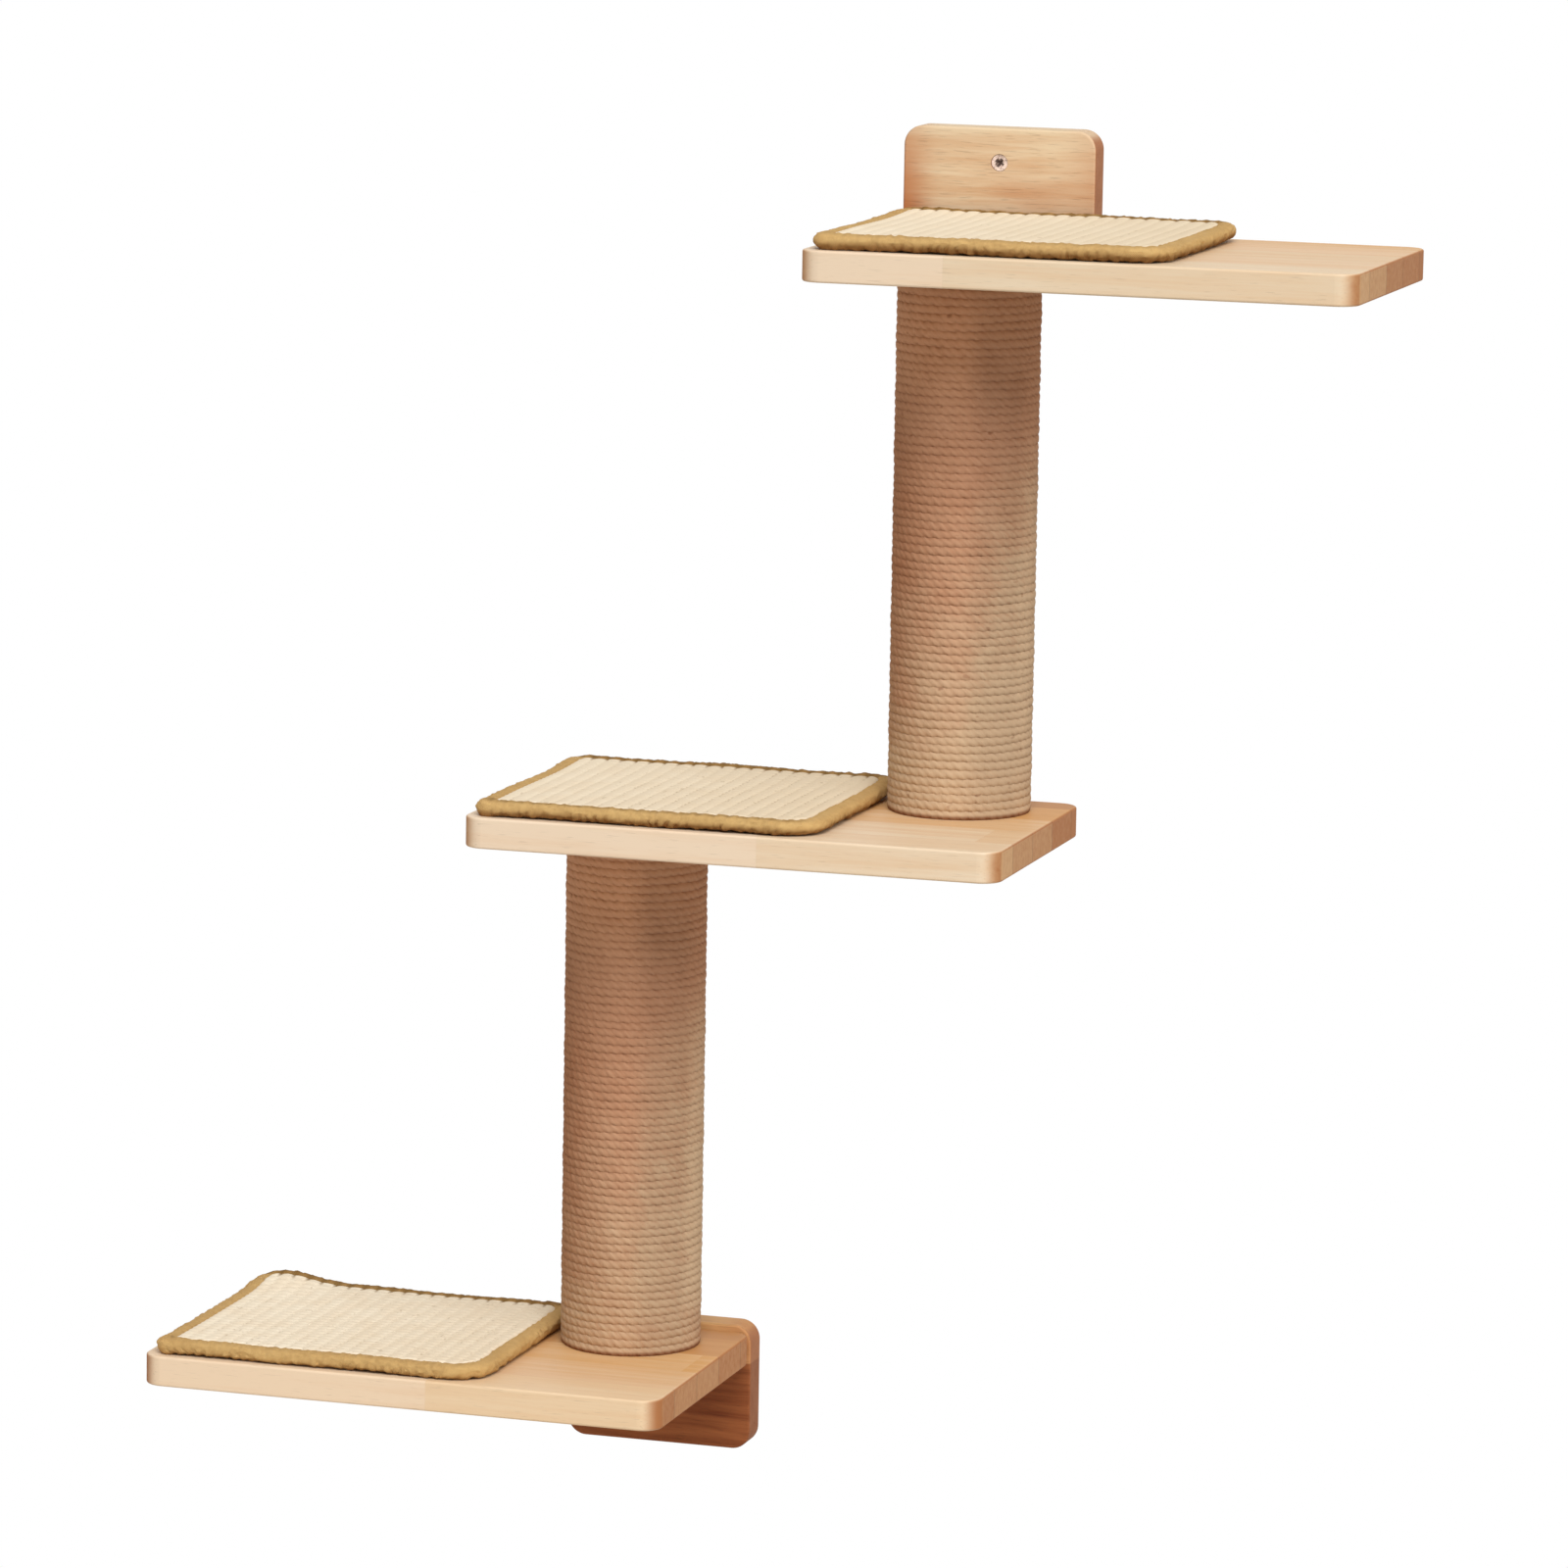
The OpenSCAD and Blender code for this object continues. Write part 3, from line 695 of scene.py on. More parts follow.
def dress(node, material):
    """Gives a frame node its finish."""
    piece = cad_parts[node]
    if not piece.material_slots:
        piece.data.materials.append(material)
    for slot in piece.material_slots:
        slot.material = material


def start_fresh():
    """Leaves edit mode and deselects everything, so that an operator acts on the new piece alone."""
    if bpy.context.object and bpy.context.object.mode != "OBJECT":
        bpy.ops.object.mode_set(mode="OBJECT")
    bpy.ops.object.select_all(action="DESELECT")


def name_piece(name):
    """Names the active piece and its mesh."""
    piece = bpy.context.object
    piece.name = name
    piece.data.name = name
    return piece


def points_of(piece):
    """The points of a piece's mesh, one row each."""
    flat = np.empty(len(piece.data.vertices) * 3)
    piece.data.vertices.foreach_get("co", flat)
    return flat.reshape(-1, 3)


def set_points(piece, points):
    """Moves the points of a piece's mesh."""
    piece.data.vertices.foreach_set("co", np.ascontiguousarray(points, dtype=np.float64).ravel())
    piece.data.update()


def apply_modifier(piece, kind, **settings):
    """Adds a modifier with its settings and applies it."""
    bpy.context.view_layer.objects.active = piece
    modifier = piece.modifiers.new(kind.title(), kind)
    for name, value in settings.items():
        setattr(modifier, name, value)
    bpy.ops.object.modifier_apply(modifier=modifier.name)


def pick(piece, kind, parts, test):
    """Selects the edges or faces of the active piece that pass a test, and stays in edit mode."""
    bpy.ops.object.mode_set(mode="EDIT")
    bpy.ops.mesh.select_mode(type=kind)
    bpy.ops.mesh.select_all(action="DESELECT")
    bpy.ops.object.mode_set(mode="OBJECT")
    for part in getattr(piece.data, parts):
        part.select = bool(test(part))
    bpy.ops.object.mode_set(mode="EDIT")


def turn_outwards():
    """Turns the faces of the active piece outwards and leaves edit mode."""
    bpy.ops.mesh.select_all(action="SELECT")
    bpy.ops.mesh.normals_make_consistent(inside=False)
    bpy.ops.object.mode_set(mode="OBJECT")


def close_shell(merge):
    """Merges doubles, closes open rims and turns the faces of the active piece outwards."""
    bpy.ops.object.mode_set(mode="EDIT")
    bpy.ops.mesh.select_mode(type="VERT")
    bpy.ops.mesh.select_all(action="SELECT")
    bpy.ops.mesh.remove_doubles(threshold=merge)
    bpy.ops.mesh.select_all(action="DESELECT")
    bpy.ops.mesh.select_non_manifold(extend=False, use_wire=False, use_multi_face=False, use_verts=False)
    bpy.ops.mesh.fill_holes(sides=0)
    turn_outwards()


def hand_over(piece, material, body, slot, *nodes):
    """Finishes a piece: its material, the body it rides on and the nodes it stands for. Its finish slot is
    not used.
    """
    piece.data.materials.clear()
    piece.data.materials.append(material)
    bpy.ops.object.select_all(action="DESELECT")
    piece.select_set(True)
    bpy.context.view_layer.objects.active = piece
    bpy.ops.object.shade_smooth_by_angle(angle=SMOOTH_ANGLE)
    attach(piece, body)
    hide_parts(*nodes)


def post_plan(post):
    """Where a post stands, its foot, its head and the outer radius of its rope."""
    low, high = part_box(f"{post}_post_rope")
    return Post((low.x + high.x) / 2, (low.y + high.y) / 2, low.z, high.z, (high.x - low.x) / 2)


def rope_pitch(sizes, plan):
    """From one turn of a post's rope to the next."""
    return (plan.head - plan.foot) / sizes.rope_turns


def rope_thickness(sizes, plan):
    """Thickness of a post's rope before it is pressed flat."""
    return rope_pitch(sizes, plan) + sizes.rope_swell


def ripple(place, *waves):
    """A sum of sine waves, each given by its height, its rate and its start."""
    return sum(height * np.sin(place * rate + start) for height, rate, start in waves)


def wind_path(name, plan, sizes):
    """The middle line of a wound rope: level turns that climb to the next one behind the post."""
    turns = sizes.rope_turns
    pitch = rope_pitch(sizes, plan)
    # The turns also sway in and out, less than they stray up and down.
    sway = sizes.rope_stray * 0.4
    middle = plan.outer - sizes.rope_press * rope_thickness(sizes, plan) / 2 - sway
    steps, start, climb_share = 48, math.pi * 0.62, 0.2
    count = turns * steps - steps // 3
    place = np.arange(count) / steps
    climb = np.clip((place % 1 - (1 - climb_share)) / climb_share, 0, 1)
    level = np.floor(place) + climb * climb * (3 - 2 * climb)
    stray = ripple(place, (0.5, 5.3, 0), (0.3, 13.7, 1.1), (0.2, 31.1, 2.3))
    edge = np.clip(np.minimum(level, turns - 1 - level), 0, 1)
    height = plan.foot + pitch * (level + 0.5) + sizes.rope_stray * stray * edge
    turn = start + FULL_TURN * place
    reach = middle + ripple(place, (sway, 17.9, 0.7))
    east, north = reach * np.cos(turn), reach * np.sin(turn)
    rows = np.stack((plan.x + east, plan.y + north, height, np.ones(count)), axis=1)
    curve = bpy.data.curves.new(name, "CURVE")
    curve.dimensions = "3D"
    curve.twist_mode = "Z_UP"
    spline = curve.splines.new("POLY")
    spline.points.add(count - 1)
    spline.points.foreach_set("co", rows.ravel())
    spline.points.foreach_set("radius", 1 + ripple(place, (0.05, 23.3, 0), (0.04, 57.1, 0.9)))
    path = bpy.data.objects.new(name, curve)
    bpy.context.collection.objects.link(path)
    run = float(np.linalg.norm(np.diff(rows[:, :3], axis=0), axis=1).sum())
    return path, run, middle


def press_turns(piece, plan, middle, share):
    """Flattens a wound rope against its post."""
    points = points_of(piece)
    axis = np.array((plan.x, plan.y))
    away = points[:, :2] - axis
    reach = np.linalg.norm(away, axis=1)
    points[:, :2] = axis + away * ((middle + (reach - middle) * share) / reach)[:, None]
    set_points(piece, points)


def model_lay(name, thick, groove, lay):
    """One lay of three-strand rope along x, from a flat grid that is rolled up and twisted."""
    rings, around, strands = 8, 12, 3
    bpy.ops.mesh.primitive_grid_add(x_subdivisions=rings, y_subdivisions=around, size=1, calc_uvs=True)
    piece = name_piece(name)
    points = points_of(piece)
    along = points[:, 0] + 0.5
    turn = (points[:, 1] + 0.5) * FULL_TURN
    strand = np.abs((turn / FULL_TURN * strands) % 1 - 0.5) * 2
    reach = thick / 2 - groove * (1 - strand) ** 2
    swing = turn + along * FULL_TURN
    set_points(piece, np.stack((along * lay, reach * np.cos(swing), reach * np.sin(swing)), axis=1))
    return piece


def mat_plan(level):
    """A mat's middle, its half width and half depth, its underside and its top."""
    low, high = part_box(f"{level}_mat_piping")
    half_x, half_y = (high.x - low.x) / 2, (high.y - low.y) / 2
    return Mat((low.x + high.x) / 2, (low.y + high.y) / 2, half_x, half_y, low.z, high.z)


def mat_lift(sizes, level, x, y):
    """How far a mat stands off its board at points measured from its middle."""
    mat = mat_plan(level)
    seed = LEVELS.index(level) * 1.7
    wave_x, wave_y = 0.017, 0.021
    rim = np.maximum(np.abs(x) / mat.half_x, np.abs(y) / mat.half_y) ** 6
    wave = np.sin(x / wave_x + seed) * np.sin(y / wave_y + 2 * seed)
    back = np.clip(y / mat.half_y, 0, 1) ** 3
    share = 0.4 if level == "lower" else 1
    lift = sizes.edge_wave * rim * wave + sizes.back_lift * back * share
    if level == "lower":
        # The far left corner curls up.
        inset_x, inset_y = 0.022, 0.004
        spread_x, spread_y = 0.024, 0.026
        east = (x + mat.half_x - inset_x) / spread_x
        north = (y - mat.half_y + inset_y) / spread_y
        lift = lift + sizes.corner_lift * np.exp(-(east**2) - north**2)
    return lift


def panel_rim(sizes):
    """From the mat's edge to the edge of its panel, which the binding covers."""
    return sizes.binding_width - sizes.weave_tuck


def rib_phase(sizes, x, mat):
    """How many ribs lie left of points measured from a mat's middle."""
    pitch = 2 * (mat.half_x - panel_rim(sizes)) / sizes.weave_ribs
    return (x + mat.half_x - panel_rim(sizes)) / pitch


def mat_corners(sizes):
    """The side and the radius of each corner of a mat, anticlockwise from the near left one."""
    radii = (sizes.square_corner, sizes.slack_corner, sizes.round_corner, sizes.round_corner)
    return tuple((*side, radius) for side, radius in zip(((-1, -1), (1, -1), (1, 1), (-1, 1)), radii))


def rounded_rim(sizes, mat, inset, count):
    """Points round a mat's edge, anticlockwise from its near left corner, and the way out at each."""
    steps, least_radius = 12, 0.0005
    places, outs = [], []
    for number, (side_x, side_y, radius) in enumerate(mat_corners(sizes)):
        middle = np.array((side_x * (mat.half_x - radius), side_y * (mat.half_y - radius)))
        for step in range(steps + 1):
            turn = math.pi * (1 + number / 2) + step / steps * math.pi / 2
            way = np.array((math.cos(turn), math.sin(turn)))
            places.append(middle + way * max(radius - inset, least_radius))
            outs.append(way)
    ring = np.array((*places, places[0]))
    ways = np.array((*outs, outs[0]))
    run = np.concatenate(((0,), np.cumsum(np.linalg.norm(np.diff(ring, axis=0), axis=1))))
    stops = np.arange(count) / count * run[-1]
    even = np.stack([np.interp(stops, run, ring[:, axis]) for axis in (0, 1)], axis=1)
    way = np.stack([np.interp(stops, run, ways[:, axis]) for axis in (0, 1)], axis=1)
    return even, way / np.linalg.norm(way, axis=1)[:, None], stops, run[-1]


def chosen(context):
    """The sizes and the colours that the user has chosen."""
    return context.scene.wall_shelf_sizes, context.scene.wall_shelf_colours


class WALL_SHELF_OT_boards(bpy.types.Operator):
    """Finishes the three boards and the two wall plates in edge-glued timber"""

    bl_idname = "wall_shelf.boards"
    bl_label = "Boards and Plates"

    def execute(self, context):
        sizes, colours = chosen(context)
        shades = (colours.board_tan, colours.board_blush, colours.end_pale, colours.board_end)
        for number, level in enumerate(LEVELS):
            low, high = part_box(f"{level}_shelf")
            board = timber_material(
                f"{level}_board_timber",
                (getattr(colours, f"{level}_pale"), *shades),
                stave=(high.y - low.y) / sizes.staves,
                joint=sizes.stave_length,
                front=low.y - sizes.stave_cut,
                first=sizes.front_joints[number],
                back_tone_and_shade=sizes.back_tones_and_shades[number],
                end_tone=(sizes.end_starts[number], sizes.end_grows[number]),
                stride=sizes.joint_strides[number],
            )
            dress(f"{level}_shelf", board)
        # The plate is painted dark below a line just under the board that it carries, as that board's
        # painted shadow.
        shadow_edge_drop = 0.001
        for number, post in enumerate(POSTS):
            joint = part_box(f"{post}_shelf")[0].z - shadow_edge_drop
            low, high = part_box(f"{post}_wall_plate")
            pale = getattr(colours, f"{post}_plate")
            seed = number * 5 + 2
            plate = plate_material(f"{post}_plate_timber", colours, pale, joint, (low.x, high.x), seed)
            dress(f"{post}_wall_plate", plate)
        return {"FINISHED"}


class WALL_SHELF_OT_cores(bpy.types.Operator):
    """Finishes the card tubes and wooden plugs inside the posts"""

    bl_idname = "wall_shelf.cores"
    bl_label = "Post Cores"

    def execute(self, context):
        colours = context.scene.wall_shelf_colours
        card = card_material("tube_card", colours.tube_card)
        plug = timber_material(
            "plug_timber",
            (colours.plug_pale, colours.plug_tan, colours.plug_tan, colours.end_pale, colours.board_end),
            stave=0.05,
            joint=0.4,
            front=-0.12,
            first=0,
            back_tone_and_shade=0,
            end_tone=(0, 0),
            stride=0.62,
        )
        for post in POSTS:
            dress(f"{post}_post_tube", card)
            for end in ("bottom", "top"):
                dress(f"{post}_post_{end}_plug", plug)
        return {"FINISHED"}


class WALL_SHELF_OT_fasteners(bpy.types.Operator):
    """Finishes the bolts, screws and threaded inserts"""

    bl_idname = "wall_shelf.fasteners"
    bl_label = "Fasteners"

    def execute(self, context):
        sizes, colours = chosen(context)
        zinc = metal_material("zinc_plate", colours.steel, colours.steel_dull, 0.3)
        brass = metal_material("insert_brass", colours.brass, colours.brass_dull, 0.34)
        dress("post_insert_nuts", brass)
        for node in ("post_bolts", "plate_screws"):
            dress(node, zinc)
        for post in POSTS:
            node = f"{post}_wall_screw"
            dress(node, screw_material(f"{post}_screw_plate", colours, sizes, node))
        return {"FINISHED"}


class WALL_SHELF_OT_ropes(bpy.types.Operator):
    """Winds the rope round both posts"""

    bl_idname = "wall_shelf.ropes"
    bl_label = "Post Ropes"

    def execute(self, context):
        sizes, colours = chosen(context)
        for post in POSTS:
            start_fresh()
            plan = post_plan(post)
            path, run, middle = wind_path(f"{post}_rope_path", plan, sizes)
            thick = rope_thickness(sizes, plan)
            lays = round(run / sizes.rope_lay)
            piece = model_lay(f"{post}_rope_winding", thick, sizes.strand_groove, run / lays)
            apply_modifier(
                piece,
                "ARRAY",
                count=lays,
                use_relative_offset=False,
                use_constant_offset=True,
                constant_offset_displace=(run / lays, 0, 0),
                offset_u=1,
            )
            apply_modifier(piece, "CURVE", object=path, deform_axis="POS_X")
            close_shell(merge=thick * 0.01)
            bpy.data.curves.remove(path.data)
            press_turns(piece, plan, middle, sizes.rope_press)
            sisal = rope_material(f"{post}_post_sisal", colours, sizes, post)
            hand_over(piece, sisal, FRAME_BODY, "sisal_rope", f"{post}_post_rope")
        return {"FINISHED"}


class WALL_SHELF_OT_weaves(bpy.types.Operator):
    """Weaves the ribbed panels of the three mats"""

    bl_idname = "wall_shelf.weaves"
    bl_label = "Mat Weaves"

    def execute(self, context):
        sizes, colours = chosen(context)
        for level in LEVELS:
            start_fresh()
            piece = self.model_panel(sizes, level)
            self.shape_ribs(piece, sizes, level)
            weave = weave_material(f"{level}_mat_weave", colours, sizes, level)
            hand_over(piece, weave, f"{level}_mat", "mat_weave", f"{level}_mat_panel")
        return {"FINISHED"}

    def model_panel(self, sizes, level):
        """A fine grid with its sides drawn down and its underside closed."""
        mat = mat_plan(level)
        rim = panel_rim(sizes)
        lanes, rows, clearance = 10, 150, 0.0004
        bpy.ops.mesh.primitive_grid_add(
            x_subdivisions=sizes.weave_ribs * lanes,
            y_subdivisions=rows,
            size=1,
            location=(mat.x, mat.y, mat.top),
        )
        piece = name_piece(f"{level}_mat_weave")
        bpy.ops.object.mode_set(mode="EDIT")
        bpy.ops.transform.resize(value=(2 * (mat.half_x - rim), 2 * (mat.half_y - rim), 1))
        bpy.ops.mesh.select_mode(type="EDGE")
        bpy.ops.mesh.select_all(action="DESELECT")
        bpy.ops.mesh.select_non_manifold(extend=False)
        drop = mat.under - mat.top + clearance
        bpy.ops.mesh.extrude_edges_move(TRANSFORM_OT_translate={"value": (0, 0, drop)})
        bpy.ops.mesh.edge_face_add()
        bpy.ops.object.mode_set(mode="OBJECT")
        bpy.ops.object.transform_apply(location=True, rotation=True, scale=True)
        return piece

    def shape_ribs(self, piece, sizes, level):
        """Raises the ribs and their knots, rounds the corners and lets the mat wave."""
        mat = mat_plan(level)
        slump_width, slump_depth, least_corner = 0.0032, 0.0022, 0.002
        points = points_of(piece)
        x, y = points[:, 0] - mat.x, points[:, 1] - mat.y
        face = points[:, 2] > (mat.under + mat.top) / 2
        wide, deep = mat.half_x - panel_rim(sizes), mat.half_y - panel_rim(sizes)
        across = rib_phase(sizes, x, mat)
        crown = np.abs(np.sin(across * math.pi))
        odd = np.floor(across) % 2
        along = y / sizes.knot_pitch + odd * 0.5
        dip = 0.5 + 0.5 * np.cos(along * FULL_TURN)
        rim = np.minimum(wide - np.abs(x), deep - np.abs(y))
        slump = np.clip(1 - rim / slump_width, 0, 1) ** 2
        height = -sizes.rib_height * (1 - crown) - sizes.knot_dip * dip * (1 - 0.5 * crown)
        points[:, 2] += np.where(face, height - slump * slump_depth, 0)
        for side_x, side_y, radius in mat_corners(sizes):
            inner = max(radius - panel_rim(sizes), least_corner)
            step_x = np.clip(x * side_x - (wide - inner), 0, None)
            step_y = np.clip(y * side_y - (deep - inner), 0, None)
            both = (step_x > 0) & (step_y > 0)
            reach = np.hypot(step_x, step_y)
            pull = np.divide(np.maximum(step_x, step_y), reach, out=np.ones_like(reach), where=both)
            x = np.where(both, side_x * (wide - inner + step_x * pull), x)
            y = np.where(both, side_y * (deep - inner + step_y * pull), y)
        points[:, 0] = x + mat.x
        points[:, 1] = y + mat.y
        points[:, 2] += mat_lift(sizes, level, x, y)
        set_points(piece, points)


class WALL_SHELF_OT_bindings(bpy.types.Operator):
    """Rolls the tan binding round the edge of each mat"""

    bl_idname = "wall_shelf.bindings"
    bl_label = "Mat Bindings"

    def execute(self, context):
        sizes, colours = chosen(context)
        for level in LEVELS:
            start_fresh()
            piece, girth = self.model_roll(sizes, level)
            cotton = binding_material(f"{level}_mat_binding", colours, sizes, level, girth)
            hand_over(piece, cotton, f"{level}_mat", "mat_piping", f"{level}_mat_piping")
        return {"FINISHED"}

    def model_roll(self, sizes, level):
        """A roll along the mat's edge: low and round outside, sewn down over the ribs inside."""
        mat = mat_plan(level)
        rings, around = 560, 22
        fold_bulge, fold_spread = 0.26, 0.016
        wide, high = sizes.binding_width / 2, sizes.binding_height / 2
        bpy.ops.mesh.primitive_grid_add(x_subdivisions=rings, y_subdivisions=around, size=1, calc_uvs=True)
        piece = name_piece(f"{level}_mat_binding")
        points = points_of(piece)
        spot = np.rint((points[:, 0] + 0.5) * rings).astype(int) % rings
        turn = (points[:, 1] + 0.5) * FULL_TURN
        places, ways, stops, girth = rounded_rim(sizes, mat, wide, rings)
        place, way = places[spot], ways[spot]
        lean = np.sign(np.cos(turn)) * np.abs(np.cos(turn)) ** 0.9
        rise = np.sign(np.sin(turn)) * np.abs(np.sin(turn)) ** 0.95
        inside = (1 - lean) / 2
        rise = np.where(rise > 0, rise * (0.86 + 0.26 * inside), rise * (1 + sizes.binding_sag / high))
        swell = self.puckers(FULL_TURN * stops[spot] / girth, turn, 10.0 * LEVELS.index(level))
        # The ends of the strip are folded over each other at the near left corner.
        fold = place - np.array((-mat.half_x, -mat.half_y))
        bulge = fold_bulge * np.exp(-np.sum(fold * fold, axis=1) / fold_spread**2)
        reach = 1 + sizes.binding_pucker * swell / high + bulge
        ribs = np.abs(np.sin(rib_phase(sizes, place[:, 0], mat) * math.pi))
        push = ribs * way[:, 1] ** 2 * (rise > 0) * inside**2
        out = lean * wide * reach + sizes.binding_scallop * push
        x = place[:, 0] + way[:, 0] * out
        y = place[:, 1] + way[:, 1] * out
        z = (mat.under + mat.top) / 2 + rise * high * reach + mat_lift(sizes, level, x, y)
        set_points(piece, np.stack((x + mat.x, y + mat.y, z), axis=1))
        close_shell(merge=1e-6)
        return piece, girth

    def puckers(self, run, turn, seed):
        """Uneven swelling along the roll and round it."""
        along, around = 27, 2
        swell = np.empty(len(run))
        for number, (ring, bend) in enumerate(zip(run, turn)):
            where = Vector((along * math.cos(ring), along * math.sin(ring), seed + around * math.sin(bend)))
            fine = 0.7 * noise.noise(where * 2.3) + 0.4 * noise.noise(where * 5.1)
            swell[number] = noise.noise(where) + fine
        return swell


class WALL_SHELF_OT_pads(bpy.types.Operator):
    """Cuts the squares of hook tape on the boards and of loop tape under the mats"""

    bl_idname = "wall_shelf.pads"
    bl_label = "Tape Pads"

    def execute(self, context):
        sizes, colours = chosen(context)
        hooks = tape_material("hook_tape", colours.tape_hook, 0)
        loops = tape_material("loop_tape", colours.tape_loop, 2)
        for level in LEVELS:
            body = f"{level}_mat"
            piece = self.cut(sizes, f"{level}_hook_squares", f"{level}_hook_pads", up=1)
            hand_over(piece, hooks, FRAME_BODY, "hook_tape", f"{level}_hook_pads")
            piece = self.cut(sizes, f"{level}_loop_squares", f"{body}_loop_pads", up=-1)
            hand_over(piece, loops, body, "loop_tape", f"{body}_loop_pads")
        return {"FINISHED"}

    def cut(self, sizes, name, node, up):
        """Models one square, copies it to the other corners of the node's box and joins them."""
        low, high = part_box(node)
        side = self.side_of(node)
        start_fresh()
        piece = self.model_square(sizes, name, low, high, side, up)
        far_x = high.x - low.x - side
        far_y = high.y - low.y - side
        for step_x, step_y in ((far_x, 0), (0, far_y), (far_x, far_y)):
            copy = piece.copy()
            copy.data = piece.data.copy()
            copy.data.transform(Matrix.Translation((step_x, step_y, 0)))
            bpy.context.collection.objects.link(copy)
            copy.select_set(True)
        piece.select_set(True)
        bpy.context.view_layer.objects.active = piece
        bpy.ops.object.join()
        return piece

    def side_of(self, node):
        """The side of the node's leftmost squares. The search takes in these and no others."""
        search = 0.06
        points = points_of(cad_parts[node])
        near = points[points[:, 0] < points[:, 0].min() + search]
        return float(near[:, 0].max() - near[:, 0].min())

    def model_square(self, sizes, name, low, high, side, up):
        """A square of tape with rounded corners and a plain border that stands over its nap."""
        thick = high.z - low.z
        middle = (low.x + side / 2, low.y + side / 2, (low.z + high.z) / 2)
        nap_depth = thick * 0.2
        bpy.ops.mesh.primitive_cube_add(size=1, location=middle, scale=(side, side, thick))
        piece = name_piece(name)
        bpy.ops.object.transform_apply(location=True, rotation=True, scale=True)
        heights = points_of(piece)[:, 2]
        pick(piece, "EDGE", "edges", lambda edge: np.ptp(heights[list(edge.vertices)]) > thick / 2)
        bpy.ops.mesh.bevel(offset=sizes.tape_corner, segments=4, affect="EDGES")
        pick(piece, "FACE", "polygons", lambda face: face.normal.z * up > 0.9)
        bpy.ops.mesh.inset(thickness=sizes.tape_border)
        bpy.ops.mesh.inset(thickness=sizes.tape_border * 0.3)
        bpy.ops.transform.translate(value=(0, 0, -up * nap_depth))
        turn_outwards()
        return piece


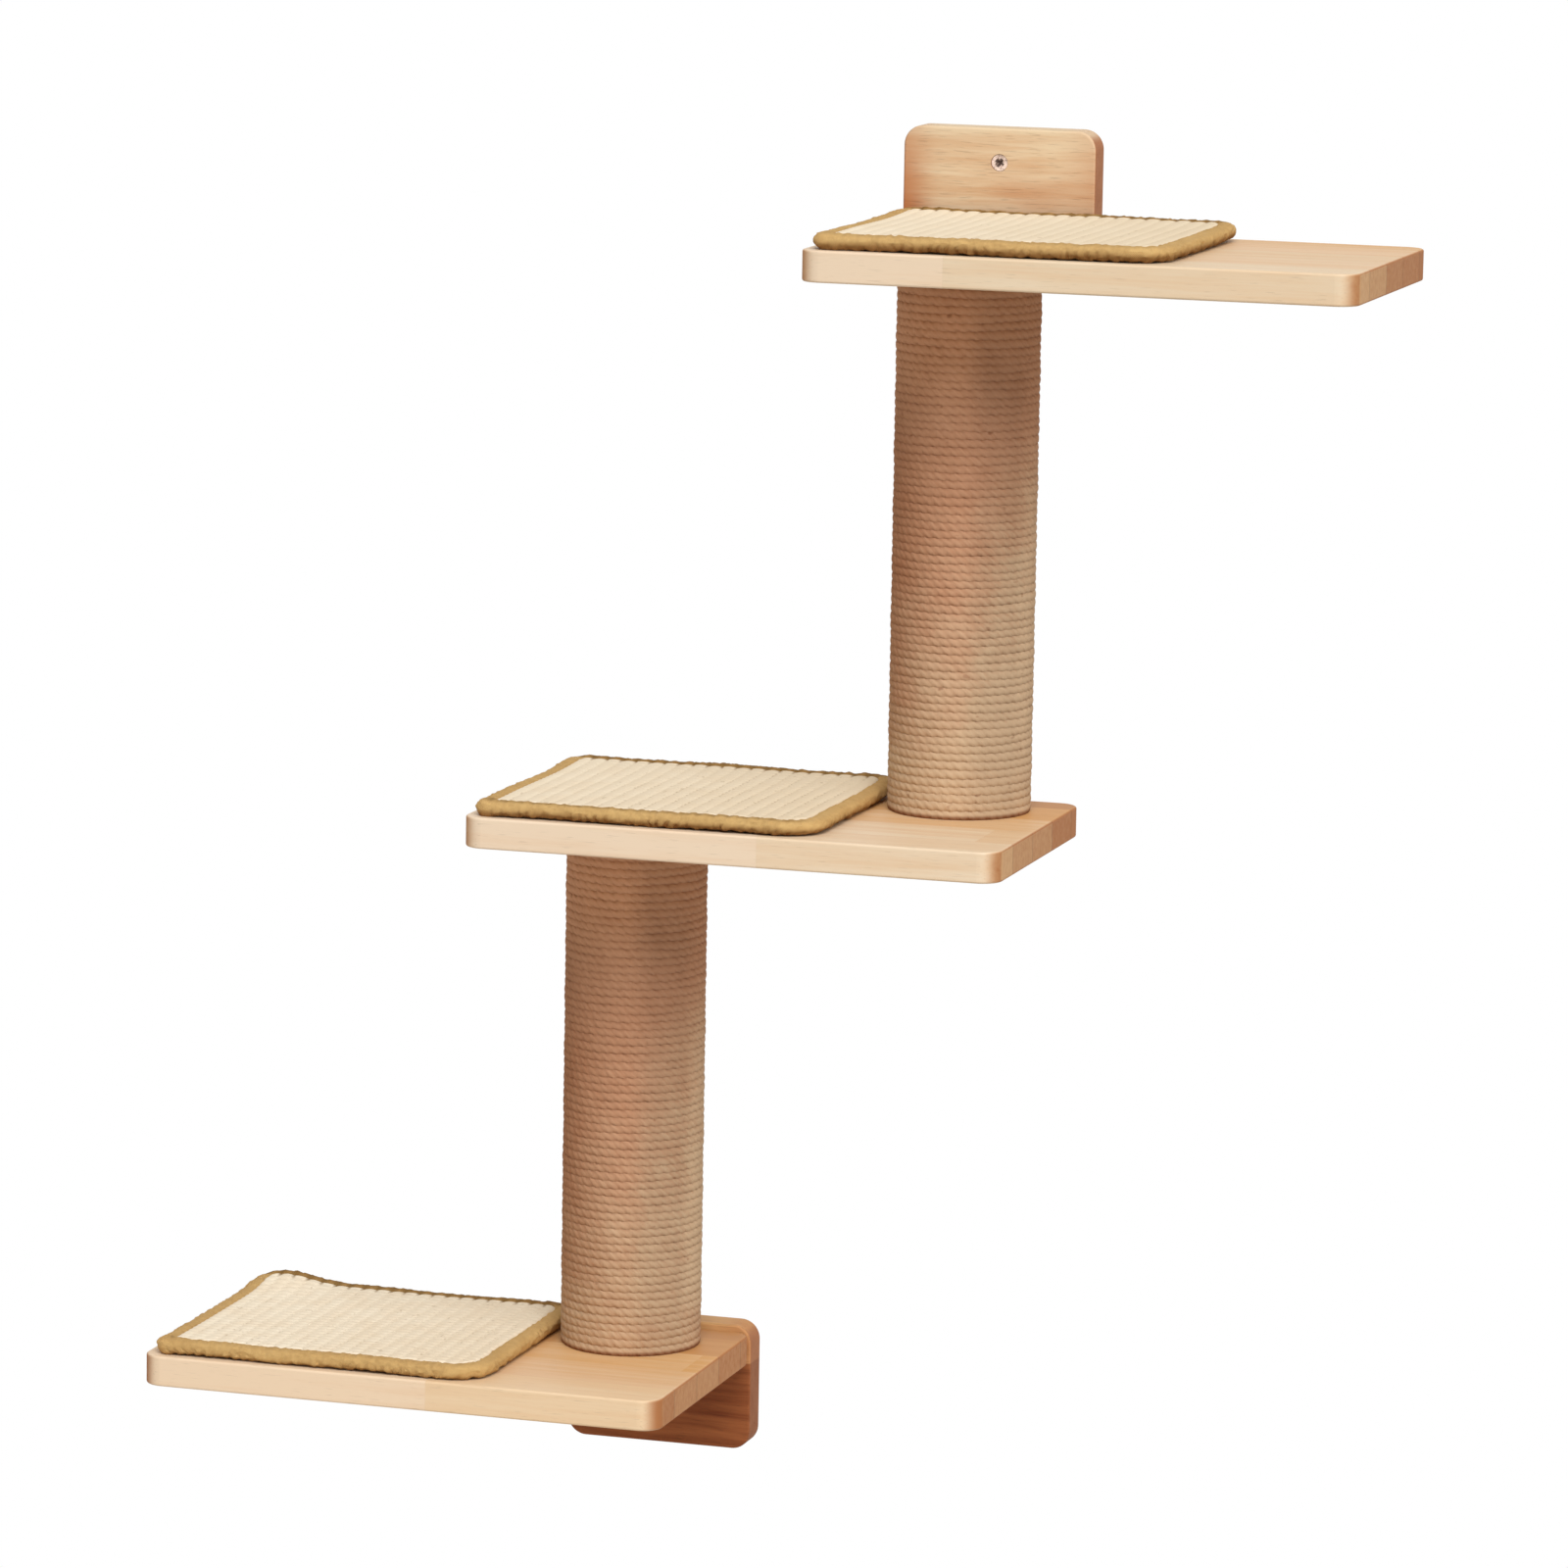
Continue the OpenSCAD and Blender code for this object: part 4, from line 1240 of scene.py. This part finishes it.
class WALL_SHELF_OT_stage(bpy.types.Operator):
    """Sets the camera, the soft lamps, the white surroundings and the pale floor"""

    bl_idname = "wall_shelf.stage"
    bl_label = "Stage"

    def execute(self, context):
        scene = context.scene
        scene.view_settings.view_transform = "Standard"
        self.place_camera(scene, scene.wall_shelf_view)
        self.hang_lamps()
        self.paint_world(scene)
        self.lay_floor(scene.wall_shelf_sizes, scene.wall_shelf_colours)
        return {"FINISHED"}

    def place_camera(self, scene, view):
        """A long lens at the photograph's angle."""
        level = math.cos(view.rise)
        back = Vector((math.sin(view.turn) * level, -math.cos(view.turn) * level, math.sin(view.rise)))
        right = (-back).cross(Vector((0, 0, 1))).normalized()
        up = right.cross(-back)
        across = right * math.cos(view.roll) + up * math.sin(view.roll)
        upright = up * math.cos(view.roll) - right * math.sin(view.roll)
        data = bpy.data.cameras.new("shelf_camera")
        data.sensor_width = view.sensor
        data.lens = view.lens
        camera = bpy.data.objects.new("shelf_camera", data)
        turn = Matrix((across, upright, back)).transposed().to_4x4()
        camera.matrix_world = Matrix.Translation(Vector(view.aim) + back * view.distance) @ turn
        bpy.context.collection.objects.link(camera)
        scene.camera = camera

    def hang_lamps(self):
        """One broad lamp from above the front and a weaker, cooler one from the right."""
        aim, distance = Vector((-0.1, -0.1, -0.4)), 9
        lamps = (
            ("front_lamp", (0.35, -0.86, 0.92), 5.1, 640, (1, 1, 1)),
            ("side_lamp", (0.95, -0.4, 0.35), 4.5, 180, (0.9, 0.96, 1)),
        )
        for name, direction, size, power, shade in lamps:
            data = bpy.data.lights.new(name, "AREA")
            data.size = size
            data.energy = power
            data.color = shade
            lamp = bpy.data.objects.new(name, data)
            way = Vector(direction).normalized()
            turn = way.to_track_quat("Z", "Y").to_matrix().to_4x4()
            lamp.matrix_world = Matrix.Translation(aim + way * distance) @ turn
            bpy.context.collection.objects.link(lamp)

    def paint_world(self, scene):
        """White where the camera, mirrors and glass look, a soft warm light on the object."""
        warm, strength = (1, 0.85, 0.71, 1), 0.41
        world = bpy.data.worlds.new("studio")
        world.use_nodes = True
        world.node_tree.nodes.clear()
        wire = Wire(world.node_tree)
        white = wire.node("ShaderNodeBackground", None, {"Color": WHITE, "Strength": 1})
        soft = wire.node("ShaderNodeBackground", None, {"Color": warm, "Strength": strength})
        mixed = wire.node("ShaderNodeMixShader", None, {0: seen_rays(wire), 1: soft, 2: white})
        wire.node("ShaderNodeOutputWorld", None, {"Surface": mixed})
        scene.world = world

    def lay_floor(self, sizes, colours):
        """A round floor, well below the shelf."""
        start_fresh()
        middle = (CAD_BOX[0] + CAD_BOX[1]) / 2
        foot = CAD_BOX[0].z - sizes.floor_drop
        bpy.ops.mesh.primitive_circle_add(
            vertices=96, radius=sizes.floor_radius, fill_type="NGON", location=(middle.x, middle.y, foot)
        )
        piece = name_piece("studio_floor")
        bpy.ops.object.transform_apply(location=True, rotation=True, scale=True)
        piece.data.materials.append(floor_material("pale_floor", colours, middle, sizes.floor_radius))


class WALL_SHELF_PT_panel(bpy.types.Panel):
    """Lists the shelf's pieces, sizes and colours in the sidebar"""

    bl_label = "Wall Shelf"
    bl_idname = "WALL_SHELF_PT_panel"
    bl_space_type = "VIEW_3D"
    bl_region_type = "UI"
    bl_category = "Wall Shelf"

    def draw(self, context):
        scene = context.scene
        for operator in OPERATORS:
            self.layout.operator(operator.bl_idname)
        for group in (scene.wall_shelf_sizes, scene.wall_shelf_colours, scene.wall_shelf_view):
            for name in group.__annotations__:
                self.layout.prop(group, name)


OPERATORS = (
    WALL_SHELF_OT_stage,
    WALL_SHELF_OT_boards,
    WALL_SHELF_OT_cores,
    WALL_SHELF_OT_fasteners,
    WALL_SHELF_OT_ropes,
    WALL_SHELF_OT_weaves,
    WALL_SHELF_OT_bindings,
    WALL_SHELF_OT_pads,
)
CLASSES = (ShelfSizes, ShelfColours, ShelfView, *OPERATORS, WALL_SHELF_PT_panel)


def register():
    for made in CLASSES:
        bpy.utils.register_class(made)
    bpy.types.Scene.wall_shelf_sizes = PointerProperty(type=ShelfSizes)
    bpy.types.Scene.wall_shelf_colours = PointerProperty(type=ShelfColours)
    bpy.types.Scene.wall_shelf_view = PointerProperty(type=ShelfView)


def unregister():
    del bpy.types.Scene.wall_shelf_view
    del bpy.types.Scene.wall_shelf_colours
    del bpy.types.Scene.wall_shelf_sizes
    for made in reversed(CLASSES):
        bpy.utils.unregister_class(made)


def main():
    register()
    bpy.ops.wall_shelf.stage()
    bpy.ops.wall_shelf.boards()
    bpy.ops.wall_shelf.cores()
    bpy.ops.wall_shelf.fasteners()
    bpy.ops.wall_shelf.ropes()
    bpy.ops.wall_shelf.weaves()
    bpy.ops.wall_shelf.bindings()
    bpy.ops.wall_shelf.pads()


if __name__ == "__main__":
    main()
